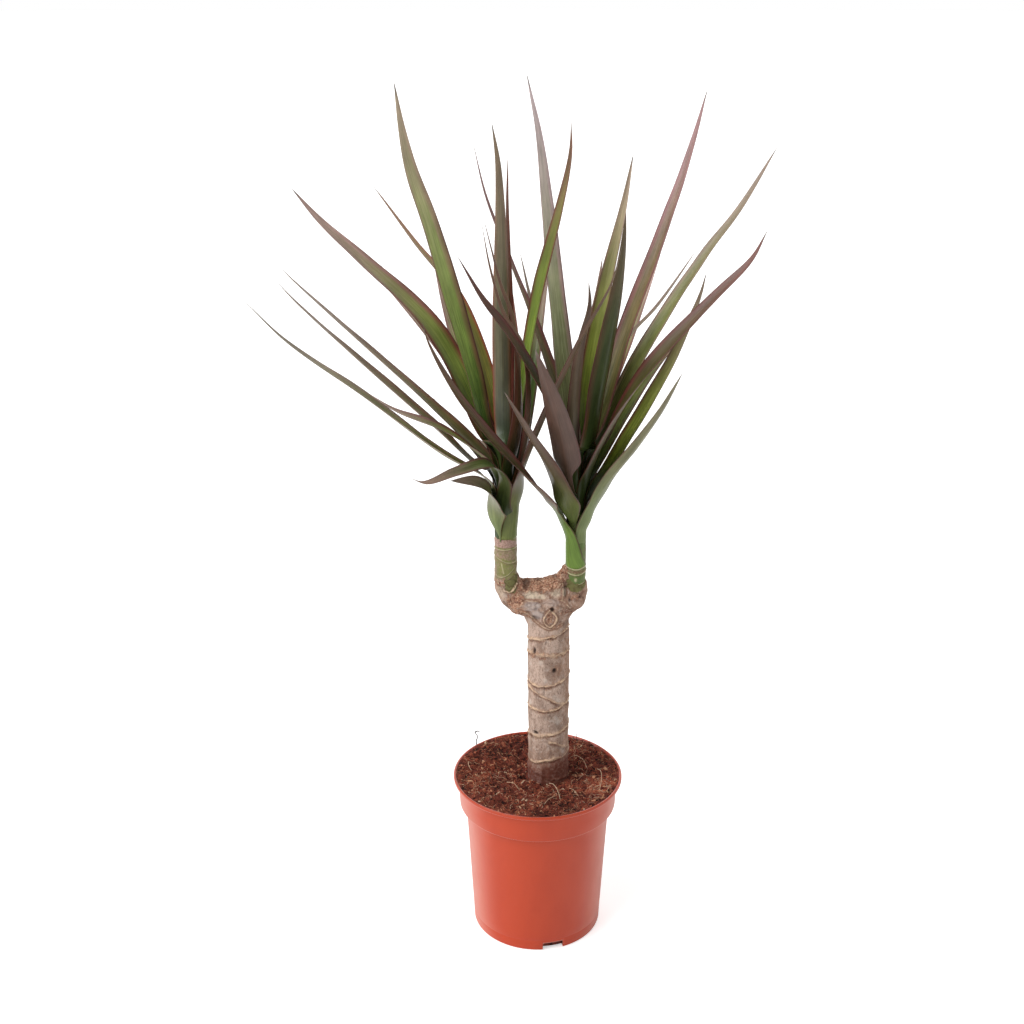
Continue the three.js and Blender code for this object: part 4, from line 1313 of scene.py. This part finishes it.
# one form for each leaf, in order up its stem: full width, how far the blade is turned about its line in
# degrees, its look and the points that its midrib passes through, root to tip. Side is where on the stem it
# leaves where that isn't towards its first point, and clasps are the margins of its sheath over the stem as
# (height, left degrees, right degrees)
leftLeaves = [
    form(19, 36, "pale", [(-30, -9, 325), (-33, -24, 340), (-41, -34, 351), (-57, -46, 357)], side=-140,
         sheath="greySheath", turnsAt=0.12, turnsTo=0.4, sink=-1.5, lean=17, opens=(312, 336),
         clasps=[(301, -120, -114), (305, -128, -110), (313, -150, -99), (326, -172, -86)]),
    form(14, 0, "ribbon", [(-16.5, -6, 331), (1, -24, 387), (27, -28, 447), (42, -30, 477), (48, -32, 502)],
         side=-20, sheath="litSheath", clasp=50, sheathReach=52, sink=3.6, sinkDepth=0.1, lean=4,
         turnsAt=0.2, opens=(322, 352), clasps=[(299, -128, 120), (305, -122, 110), (313, -106, 90),
         (326, -92, 60), (340, -62, 20)]),
    form(8, -20, "dusk", [(-33, 28, 349), (-58, 62, 359), (-74, 84, 373)]),
    form(11, 40, "fern", [(-24, -20, 348), (-34, -32, 363), (-55, -48, 363), (-73, -56, 359),
         (-82, -60, 364)], side=-105),
    form(12, 0, "fern", [(-9, 32, 373), (1, 78, 431), (8, 104, 467)], side=60),
    form(13, 19, "straw", [(-35, -2, 342), (-63, -8, 361), (-114, -16, 404), (-160, -20, 440),
         (-183, -24, 466)]),
    form(12, 0, "olive", [(-34, 35, 365), (-61, 70, 403), (-97, 100, 440), (-119, 114, 460)]),
    form(9, -30, "maroon", [(-7, -10, 386), (-10, -13, 434), (-23, -16, 458), (-31, -22, 485),
         (-37, -28, 516)]),
    form(13, 0, "deep", [(-16, 36, 386), (-20, 88, 443), (-27, 118, 489)], side=58),
    form(14, -19, "dusk", [(-37, 17, 351), (-71, 31, 381), (-120, 48, 422), (-161, 62, 457),
         (-176, 66, 471)], side=141),
    form(10, 36, "olive", [(-35, -14, 359), (-61, -34, 386), (-90, -56, 406), (-106, -70, 422)]),
    form(13, 0, "olive", [(-37, 38, 382), (-58, 84, 419), (-73, 126, 462), (-77, 136, 476)], side=108),
    form(14, 9, "dusk", [(-38, 4, 348), (-73, 12, 377), (-123, 20, 421), (-160, 22, 457), (-171, 22, 470)],
         side=188),
    form(11, -45, "copper", [(-29, 34, 379), (-54, 66, 447), (-85, 86, 483), (-114, 104, 519)], side=95),
    form(11, -50, "maroon", [(-13, -7, 398), (-17, -5, 452), (-25, -8, 475), (-36, -12, 516)], side=-60),
    form(18, 0, "olive", [(-40, 24, 375), (-59, 37, 413), (-77, 42, 440), (-122, 46, 483), (-145, 48, 505),
         (-162, 50, 525)]),
    form(14, -20, "moss", [(-16, 4, 361), (-10, 13, 406), (1, 14, 471), (12, 12, 517), (18, 10, 551),
         (18, 10, 571)], side=14),
    form(23, 20, "broad", [(-34, 12, 365), (-49, 22, 417), (-72, 36, 499), (-86, 42, 545), (-93, 44, 592)],
         side=162),
    form(9, -50, "maroon", [(-22, 32, 387), (-21, 46, 452), (-22, 57, 510), (-21, 62, 547)], side=97),
    form(12, -20, "steelSheen", [(-24, 6, 374), (-25, 8, 428), (-25, 10, 498), (-27, 12, 545), (-31, 14, 570)],
         side=-90, edge=(132, 60, 44)),
]
rightLeaves = [
    form(14, 45, "ribbon", [(12, -5, 320), (4, -21, 335), (-14, -34, 360), (-37, -40, 389), (-58, -46, 422),
         (-70, -50, 449), (-72, -50, 459)], side=-150, sheath="freshSheath", clasp=24, sink=19.9,
         sinkDepth=-0.12, sheathReach=44, turnsAt=0.28, lean=19, opens=(315, 336), clasps=[(278.6, -262, 0),
         (286, -255, -47), (297, -245, -77), (308, -232, -107), (314, -222, -128), (321, -212, -141)]),
    form(14, 0, "olive", [(23, 50, 368), (16, 104, 418), (9, 136, 461), (7, 146, 475)]),
    form(12.5, 10, "pale", [(33.5, -5, 320), (43, -14, 343), (59, -22, 368), (76, -30, 398), (87, -38, 425)],
         side=-45, sheath="greySheath", wrap=0.95, sheathReach=60, sink=20, collar=8, lean=22,
         opens=(322, 346), clasps=[(284, -118, 80), (300, -110, 60), (306, -101, 45), (318, -78, 8),
         (329, -64, -14)]),
    form(12, 0, "olive", [(40, 38, 371), (64, 86, 419), (84, 122, 463), (94, 140, 486)]),
    form(17, 10, "mauve", [(19, -11, 325), (4, -38, 364), (-7, -54, 387), (-23, -78, 424)], side=-125,
         sheath="dullSheath", wrap=0.95, sheathReach=60, sink=6.7, sinkDepth=0.1, collar=6, lean=30,
         opens=(320, 344), clasps=[(303, -102, -97), (309, -128, -92), (319, -142, -84), (330, -139, -90)]),
    form(15, -6, "bright", [(48, 10, 348), (68, 22, 378), (91, 34, 418), (107, 42, 458), (110, 44, 471)],
         side=22),
    form(9, -30, "dusk", [(16, 38, 378), (4, 72, 413), (-5, 92, 439), (-13, 110, 473)], side=116),
    form(19, 0, "spoon", [(20, -14, 338), (13, -44, 382), (4, -72, 421), (-5, -96, 454)], side=-105,
         stalk=(0.3, 0.32, 0.4), wrap=0.5, sink=16),
    form(10, 0, "olive", [(48, 24, 361), (78, 62, 398), (114, 96, 431), (133, 112, 447)]),
    form(9, 30, "moss", [(31, 39, 371), (36, 82, 416), (42, 104, 445), (46, 120, 468)], side=97),
    form(17, -46, "bronze", [(39, -4, 363), (67, -8, 415), (110, -16, 469), (129, -20, 492),
         (137, -22, 510)], side=-28),
    form(9, 30, "dusk", [(42, 33, 373), (59, 56, 420), (81, 68, 443), (108, 84, 479)], side=55),
    form(15, 55, "wine", [(16, -4, 370), (1, -12, 404), (-20, -28, 445), (-37, -40, 472), (-51, -48, 499)]),
    form(12, 20, "bright", [(29, 26, 361), (34, 33, 408), (43, 40, 463), (54, 46, 513), (60, 50, 547)],
         side=95),
    form(9, -40, "mauve", [(21, -5, 378), (25, -12, 433), (30, -16, 462), (29, -18, 478)]),
    form(14, 8, "cream", [(41, 18, 363), (66, 26, 416), (106, 38, 480), (130, 46, 512), (153, 52, 551)]),
    form(11, -35, "rose", [(18, 24, 375), (-7, 48, 444), (-20, 60, 475), (-36, 70, 516), (-44, 76, 550)],
         side=125),
    form(16, -4, "rose", [(40, 14, 379), (58, 34, 433), (80, 54, 489), (98, 70, 541), (110, 80, 585)]),
    form(21, -10, "silver", [(20, 12, 365), (10, 34, 441), (3, 56, 511), (-2, 70, 560), (-9, 80, 595)],
         side=135),
    form(18, 14, "deep", [(31, -5, 364), (44, 10, 427), (52, 18, 477), (54, 20, 514)], side=-36),
]
# colours of the kinds of leaf: the blade low down, partly its own deeper green and partly painted shade of
# the crown, at its middle, its margins, its tip and its underside, how wide the left and right margins are,
# and where along the blade the tip's colour comes in
lookParts = ("Low", "Middle", "Margin", "Tip", "Under", "Left Margin", "Right Margin", "Tip From")
leafLooks = {
    "olive": ((62, 78, 30), (130, 144, 68), (122, 62, 50), (188, 158, 150), (126, 114, 86), 0.36, 0.36, 0.6),
    "moss": ((60, 80, 28), (118, 138, 50), (102, 48, 36), (120, 84, 70), (112, 106, 68), 0.4, 0.2, 0.7),
    "fern": ((50, 68, 26), (78, 102, 38), (92, 56, 44), (148, 120, 108), (88, 90, 58), 0.26, 0.26, 0.7),
    "deep": ((36, 50, 20), (58, 78, 28), (104, 40, 30), (152, 110, 94), (60, 68, 34), 0.34, 0.34, 0.72),
    "bright": ((74, 94, 28), (146, 160, 60), (118, 80, 48), (170, 148, 130), (140, 142, 86), 0.16, 0.24,
        0.6),
    "broad": ((84, 124, 46), (172, 202, 102), (142, 106, 76), (190, 170, 146), (160, 166, 116), 0.32, 0.28,
        0.56),
    "straw": ((96, 104, 48), (120, 122, 60), (148, 118, 100), (154, 142, 128), (148, 136, 110), 0.28, 0.28,
        0.5),
    "dusk": ((88, 84, 44), (118, 110, 62), (128, 88, 70), (156, 138, 126), (138, 122, 98), 0.36, 0.36, 0.5),
    "copper": ((104, 110, 46), (142, 140, 66), (162, 82, 54), (172, 136, 116), (128, 116, 84), 0.32, 0.32,
        0.62),
    # this look's bluish grey low colour is a painted reflection of the sky on the lower blade
    "steelSheen": ((82, 92, 84), (80, 90, 50), (142, 70, 52), (168, 132, 114), (114, 106, 84), 0.26, 0.26, 0.66),
    "maroon": ((66, 46, 32), (94, 78, 44), (114, 54, 42), (138, 96, 82), (108, 84, 64), 0.56, 0.56, 0.6),
    "wine": ((56, 52, 30), (60, 60, 26), (88, 36, 28), (98, 58, 50), (86, 66, 50), 0.3, 0.6, 0.62),
    "bronze": ((60, 64, 30), (82, 78, 40), (98, 52, 42), (120, 84, 78), (110, 90, 70), 0.46, 0.36, 0.6),
    "ribbon": ((88, 76, 46), (82, 72, 42), (90, 48, 38), (122, 98, 80), (106, 82, 62), 0.46, 0.46, 0.75),
    "mauve": ((80, 90, 46), (88, 86, 50), (92, 58, 48), (104, 74, 64), (92, 74, 60), 0.4, 0.4, 0.6),
    "spoon": ((62, 42, 36), (96, 74, 62), (84, 54, 46), (110, 82, 72), (92, 70, 60), 0.4, 0.4, 0.6),
    "rose": ((76, 80, 34), (122, 108, 66), (138, 84, 78), (156, 120, 120), (136, 110, 102), 0.46, 0.36, 0.6),
    "silver": ((120, 124, 74), (168, 176, 126), (182, 150, 142), (212, 192, 192), (168, 154, 138), 0.26,
        0.34, 0.55),
    "cream": ((70, 76, 34), (120, 126, 66), (146, 126, 100), (148, 128, 114), (140, 132, 100), 0.36, 0.28,
        0.6),
    "pale": ((98, 112, 62), (104, 108, 62), (110, 82, 68), (144, 124, 112), (128, 126, 94), 0.2, 0.2, 0.7),
}
leafPaint = {
    # the default sheath colour is painted dark as shade for bases deep in the crown
    "shadedSheath": (50, 66, 28), "litSheath": (107, 118, 56), "freshSheath": (104, 134, 50),
    "greySheath": (112, 126, 74), "dullSheath": (88, 100, 50), "edge": (82, 34, 27),
    "dryPoint": (120, 108, 100), "rough": 0.24, "specular": 0.38,
}
leafMasks = ("Along", "Across", "Underside", "Rise", "Tone")


def paintNoise(tree, given, across, rise, tone, scale, detail, rough=0.5):
    # noise that follows a blade: drawn out along it, and different on each leaf
    place = addNode(tree, "ShaderNodeCombineXYZ", {0: multiply(tree, given["Across"], across),
                    1: multiply(tree, given["Rise"], rise), 2: multiply(tree, given["Tone"], tone)})
    return noise(tree, place.outputs[0], scale, detail, rough)


def leafPaintGroup():
    # a blade's colours from its own masks: along it, across it, its rise above its root and which face
    colours = ("Low", "Middle", "Margin", "Tip", "Under", "Sheath", "Edge", "Dry Point")
    numbers = ("Left Margin", "Right Margin", "Tip From", "Sheath Reach", *leafMasks)
    inputs = [(name, "Color", (0.2, 0.2, 0.1, 1)) for name in colours]
    inputs += [(name, "Float", 0.5) for name in numbers]
    tree, given, result = newGroup("leafColours", inputs, [("Colour", "Color"), ("Height", "Float"),
                                   ("Rough", "Float")])
    across = given["Across"]
    along = given["Along"]
    veins = paintNoise(tree, given, 9.0, 0.022, 31.0, 1.6, 5.0, 0.65)
    clouds = paintNoise(tree, given, 1.1, 0.05, 57.0, 1.0, 4.0)
    jitter = multiply(tree, calculate(tree, "SUBTRACT", veins, 0.5), 0.65)
    # green middle, darker low down: partly the blade's own deeper green, partly painted shade of the crown
    lowMask = smoothStep(tree, calculate(tree, "ADD", along, jitter), 0.1, 0.5, 1.0, 0.0)
    colour = blendColour(tree, lowMask, given["Middle"], given["Low"])
    # red margins bleed inwards along the veins
    fromMiddle = calculate(tree, "ABSOLUTE", across)
    rightHalf = calculate(tree, "GREATER_THAN", across, 0.0)
    sideWidth = addNode(tree, "ShaderNodeMix", {0: rightHalf, 2: given["Left Margin"],
                        3: given["Right Margin"]}, data_type="FLOAT").outputs[0]
    marginWidth = multiply(tree, sideWidth, calculate(tree, "MULTIPLY_ADD", along, 0.7, 0.6))
    inwards = calculate(tree, "SUBTRACT", calculate(tree, "ADD", fromMiddle, marginWidth), 1.0)
    marginMask = smoothStep(tree, calculate(tree, "ADD", inwards, jitter), -0.24, 0.2)
    colour = blendColour(tree, marginMask, colour, given["Margin"])
    # the dry mauve tip
    tipStart = calculate(tree, "SUBTRACT", given["Tip From"], 0.2)
    tipMask = smoothStep(tree, calculate(tree, "MULTIPLY_ADD", jitter, 0.5, along), tipStart, 1.0)
    colour = blendColour(tree, tipMask, colour, given["Tip"])
    faceShare = calculate(tree, "MULTIPLY_ADD", lowMask, -0.5, 0.7)
    colour = blendColour(tree, multiply(tree, given["Underside"], faceShare), colour, given["Under"])
    # the green sheath comes over both faces
    baseRise = calculate(tree, "MULTIPLY_ADD", jitter, 26.0, given["Rise"])
    baseReach = calculate(tree, "DIVIDE", baseRise, given["Sheath Reach"])
    colour = blendColour(tree, smoothStep(tree, baseReach, 0.25, 1.1, 0.92, 0.0), colour, given["Sheath"])
    edgeMask = smoothStep(tree, fromMiddle, 0.86, 0.97)
    edgeMask = multiply(tree, edgeMask, smoothStep(tree, along, 0.95, 0.4, 0.0, 0.7))
    colour = blendColour(tree, edgeMask, colour, given["Edge"])
    # veins, clouds and the keel, painted paler as a highlight
    keel = smoothStep(tree, fromMiddle, 0.0, 0.09, 0.16, 0.0)
    light = calculate(tree, "ADD", mapRange(tree, veins, 0.3, 0.7, 0.78, 1.22), keel)
    light = multiply(tree, light, mapRange(tree, clouds, 0.3, 0.7, 0.8, 1.18))
    lit = addNode(tree, "ShaderNodeVectorMath", {0: colour, "Scale": light}, operation="SCALE").outputs[0]
    pointMask = smoothStep(tree, along, 0.955, 0.99)
    feed(tree, result["Colour"], blendColour(tree, pointMask, lit, given["Dry Point"]))
    ribHeight = multiply(tree, keel, calculate(tree, "MULTIPLY_ADD", given["Underside"], 5.0, -2.0))
    feed(tree, result["Height"], calculate(tree, "ADD", veins, ribHeight))
    feed(tree, result["Rough"], multiply(tree, clouds, 0.25))
    return tree


leafColours = leafPaintGroup()


def leafMaterial(name, leaf):
    material, tree, shader = newMaterial(name + "Skin")
    inputs = dict(zip(lookParts, leafLooks[leaf["look"]]))
    inputs["Sheath"] = leafPaint[leaf.get("sheath", "shadedSheath")]
    inputs["Edge"] = leaf.get("edge", leafPaint["edge"])
    inputs["Dry Point"] = leafPaint["dryPoint"]
    inputs.update(shaderColours(inputs))
    inputs["Sheath Reach"] = leaf.get("sheathReach", leafSize["sheathReach"])
    for mask in leafMasks:
        inputs[mask] = readMask(tree, mask.lower())
    painted = useGroup(tree, leafColours, inputs)
    rough = calculate(tree, "ADD", painted["Rough"], leafPaint["rough"])
    finishSurface(tree, shader, painted["Colour"], rough, painted["Height"], 0.3, 0.25)
    shader["Specular IOR Level"].default_value = leafPaint["specular"]
    return material


def coreRadius(stem, z, radius):
    # the crown's core narrows from that radius to its tip
    share = np.clip((z - stem["crown"]) / stemSize["coreHeight"], 0, 1)
    return lerp(radius, stemSize["coreTipRadius"], share)


def leafLine(leaf, stem, rank):
    # the midrib, from low on the stem past the leaf's root and collar and on through its points
    size = {**leafSize, **leaf}
    up = np.array([0, 0, 1])
    rootZ = stem["crown"] + size["firstRoot"] + size["rootStep"] * rank
    first = np.array(leaf["through"][0], float)
    side = math.atan2(first[1] - axisY, first[0] - stem["x"])
    if "side" in leaf:
        side = math.radians(leaf["side"])
    outward = np.array([math.cos(side), math.sin(side), 0])
    axis = np.array([stem["x"], axisY, rootZ])
    rootRadius = coreRadius(stem, rootZ, stem["radius"] - stemSize["coreStep"])
    rootRadius = rootRadius + size["rootThickness"] / 2 + size["clearance"]
    root = axis + outward * rootRadius
    reach = first - root
    leanThere = math.degrees(math.atan2(math.hypot(reach[0], reach[1]), reach[2]))
    lean = min(size["leastLean"] + size["leanShare"] * leanThere, size["mostLean"])
    lean = math.radians(leaf.get("lean", lean))
    collar = root + size["collar"] * (math.sin(lean) * outward + math.cos(lean) * up)
    lowCore = coreRadius(stem, rootZ - size["sink"], stem["radius"])
    start = axis + outward * (lowCore - size["sinkDepth"]) - size["sink"] * up
    line = smoothLine([start, root - size["lowPoint"] * up, root, collar, *leaf["through"]])
    travelled = np.concatenate([[0], np.cumsum(np.linalg.norm(np.diff(line, axis=0), axis=1))])
    part = np.linspace(0, 1, size["stations"]) ** size["stationPower"]
    at = part * travelled[-1]
    behind, centre, ahead = (np.stack([np.interp(at + shift, travelled, column) for column in line.T], 1)
                             for shift in (-size["tangentReach"], 0, size["tangentReach"]))
    tangent = (ahead - behind) / np.linalg.norm(ahead - behind, axis=1)[:, None]
    fromAxis = centre[:, :2] - axis[:2]
    return {"centre": centre, "tangent": tangent, "part": part, "rise": at - size["sink"], "side": side,
            "rootRadius": rootRadius, "distance": np.hypot(*fromAxis.T),
            "bearing": np.degrees(np.arctan2(fromAxis[:, 1], fromAxis[:, 0]))}


def bladeWidth(leaf, part):
    size = leafSize
    taper = np.sin(math.pi / 2 * np.clip((1 - part) / size["taperShare"], 0, 1)) ** size["taperPower"]
    neck = 1 - size["neckDepth"] * bump(part - size["neckAt"], size["neckSpan"])
    if "stalk" in leaf:
        stalkShare, stalkEnd, bladeStart = leaf["stalk"]
        neck = lerp(stalkShare, 1, ease(part, stalkEnd, bladeStart))
    return np.maximum(leaf["width"] * taper * neck, size["tipWidth"] * (1 - ease(part, 0.97, 1)) + 0.12)


def bladeDirections(size, line, drift):
    # across the blade and down from it: level at the root, then turned by the leaf's twist
    part, tangent = line["part"], line["tangent"]
    level = np.array([-math.sin(line["side"]), math.cos(line["side"]), 0])
    across = level - (tangent @ level)[:, None] * tangent
    across /= np.linalg.norm(across, axis=1)[:, None]
    outward = np.cross(across, tangent)
    twist = math.radians(size["twist"]) * ease(part, size["turnsAt"], size["turnsTo"])
    twist = twist + size["sway"] * latticeNoise(drift, 3) * ease(part, 0.15, 0.4)
    wide = across * np.cos(twist)[:, None] + outward * np.sin(twist)[:, None]
    return wide, np.cross(wide, tangent)


def turnTowards(direction, level, opened):
    mixed = lerp(level, direction, opened[:, None])
    return mixed / np.linalg.norm(mixed, axis=1)[:, None]


def bladeSurface(leaf, line, rank, crown):
    # the blade's middle surface and its normals: a sheath round the stem low down, opening into the blade
    size = {**leafSize, **leaf}
    part, rise, distance = line["part"], line["rise"], line["distance"]
    clasp = size["clasp"]
    drift = np.stack([rise * 0.02, np.full_like(rise, rank * 3.7), np.full_like(rise, len(crown))], 1)
    wide, down = bladeDirections(size, line, drift)
    half = lerp(size["wrap"] * line["rootRadius"], bladeWidth(leaf, part) / 2, ease(rise, 0, clasp))
    half = half * (1 + size["waver"] * latticeNoise(drift * 2.3, 11))
    bladeRadius = half / size["bladeAngle"]
    radius = lerp(np.minimum(distance, line["rootRadius"]), bladeRadius, ease(rise, 6, clasp + 8) ** 1.5)
    radius = np.maximum(radius, half / size["mostWrap"])
    offset = np.linspace(-1, 1, size["lanes"])
    theta = (half / radius)[:, None] * offset
    if "clasps" in leaf:
        height = line["centre"][:, 2]
        knots = np.array(leaf["clasps"], float).T
        opened = ease(height, *leaf["opens"])
        left, right = (np.interp(height, knots[0], margin) - line["bearing"] for margin in knots[1:])
        clasping = np.radians(lerp(left[:, None], right[:, None], (offset + 1) / 2))
        theta = lerp(clasping, theta, opened[:, None])
        radius = lerp(distance, bladeRadius, opened)
        turn = np.radians(line["bearing"])
        wide = turnTowards(wide, onPlane(-np.sin(turn), np.cos(turn)), opened)
        down = turnTowards(down, onPlane(np.cos(turn), np.sin(turn)), opened)
    # the margins ripple, and the blade folds along its midrib
    ripple = size["ripple"] * latticeNoise(np.stack([rise * 0.05, np.full_like(rise, rank), rise * 0], 1), 23)
    folded = size["fold"] * half * ease(rise, clasp, clasp + size["foldRun"]) * (1 - 0.6 * ease(part, 0.6, 1))
    lift = np.abs(offset) ** 3 * (ripple * ease(part, 0.1, 0.3))[:, None]
    lift = lift + folded[:, None] * (np.sqrt(offset ** 2 + size["foldRound"]) - 0.17)
    wide, down = wide[:, None, :], down[:, None, :]
    sine, cosine = np.sin(theta)[:, :, None], np.cos(theta)[:, :, None]
    radius = radius[:, None, None]
    drop = radius * (1 - cosine) + lift[:, :, None]
    surface = line["centre"][:, None, :] + wide * (radius * sine) - down * drop
    return surface, down * cosine + wide * sine, offset


def shellFaces(rows, lanes):
    # an upper and an under surface, joined along both margins and at both ends
    count = rows * lanes
    faces = gridFaces(rows, lanes, closed=False, flipped=True)
    faces += gridFaces(rows, lanes, closed=False, first=count)
    for row in range(rows - 1):
        left = row * lanes
        right = left + lanes - 1
        faces.append((left, left + count, left + lanes + count, left + lanes))
        faces.append((right, right + lanes, right + lanes + count, right + count))
    for lane in range(lanes - 1):
        faces.append((lane, lane + 1, lane + 1 + count, lane + count))
        top = count - lanes + lane
        faces.append((top + 1, top, top + count, top + 1 + count))
    return faces


def makeLeaf(crown, rank, leaf):
    size = leafSize
    name = f"{crown}Leaf{rank + 1:02d}"
    node = f"{crown}_leaf_{rank + 1:02d}"
    line = leafLine(leaf, stems[crown], rank)
    part, rise = line["part"], line["rise"]
    surface, normal, offset = bladeSurface(leaf, line, rank, crown)
    keel = lerp(size["keelThickness"], size["edgeThickness"], part ** 0.8)[:, None]
    thickness = lerp(keel, size["edgeThickness"], np.abs(offset) ** 0.7)
    thickness = thickness * (1 - size["tipThin"] * ease(part, 0.9, 1))[:, None]
    thickness = thickness * lerp(size["rootThin"], 1, ease(rise, 0, 16))[:, None]
    half = normal * (thickness / 2)[:, :, None]
    points = np.vstack([(surface - half).reshape(-1, 3), (surface + half).reshape(-1, 3)])
    rows, lanes = len(part), len(offset)
    masks = {
        "along": np.tile(np.repeat(part, lanes), 2), "across": np.tile(offset, 2 * rows),
        "underside": np.repeat([0.0, 1.0], rows * lanes), "rise": np.tile(np.repeat(rise, lanes), 2),
        "tone": np.full(2 * rows * lanes, (rank * 0.37 + len(crown) * 0.11) % 1),
    }
    makePiece(name, points, shellFaces(rows, lanes), leafMaterial(name, leaf), replaces=[node],
              masks=masks)


for crown, leaves in (("left", leftLeaves), ("right", rightLeaves)):
    for rank, leaf in enumerate(leaves):
        makeLeaf(crown, rank, leaf)
print("leaves ready")
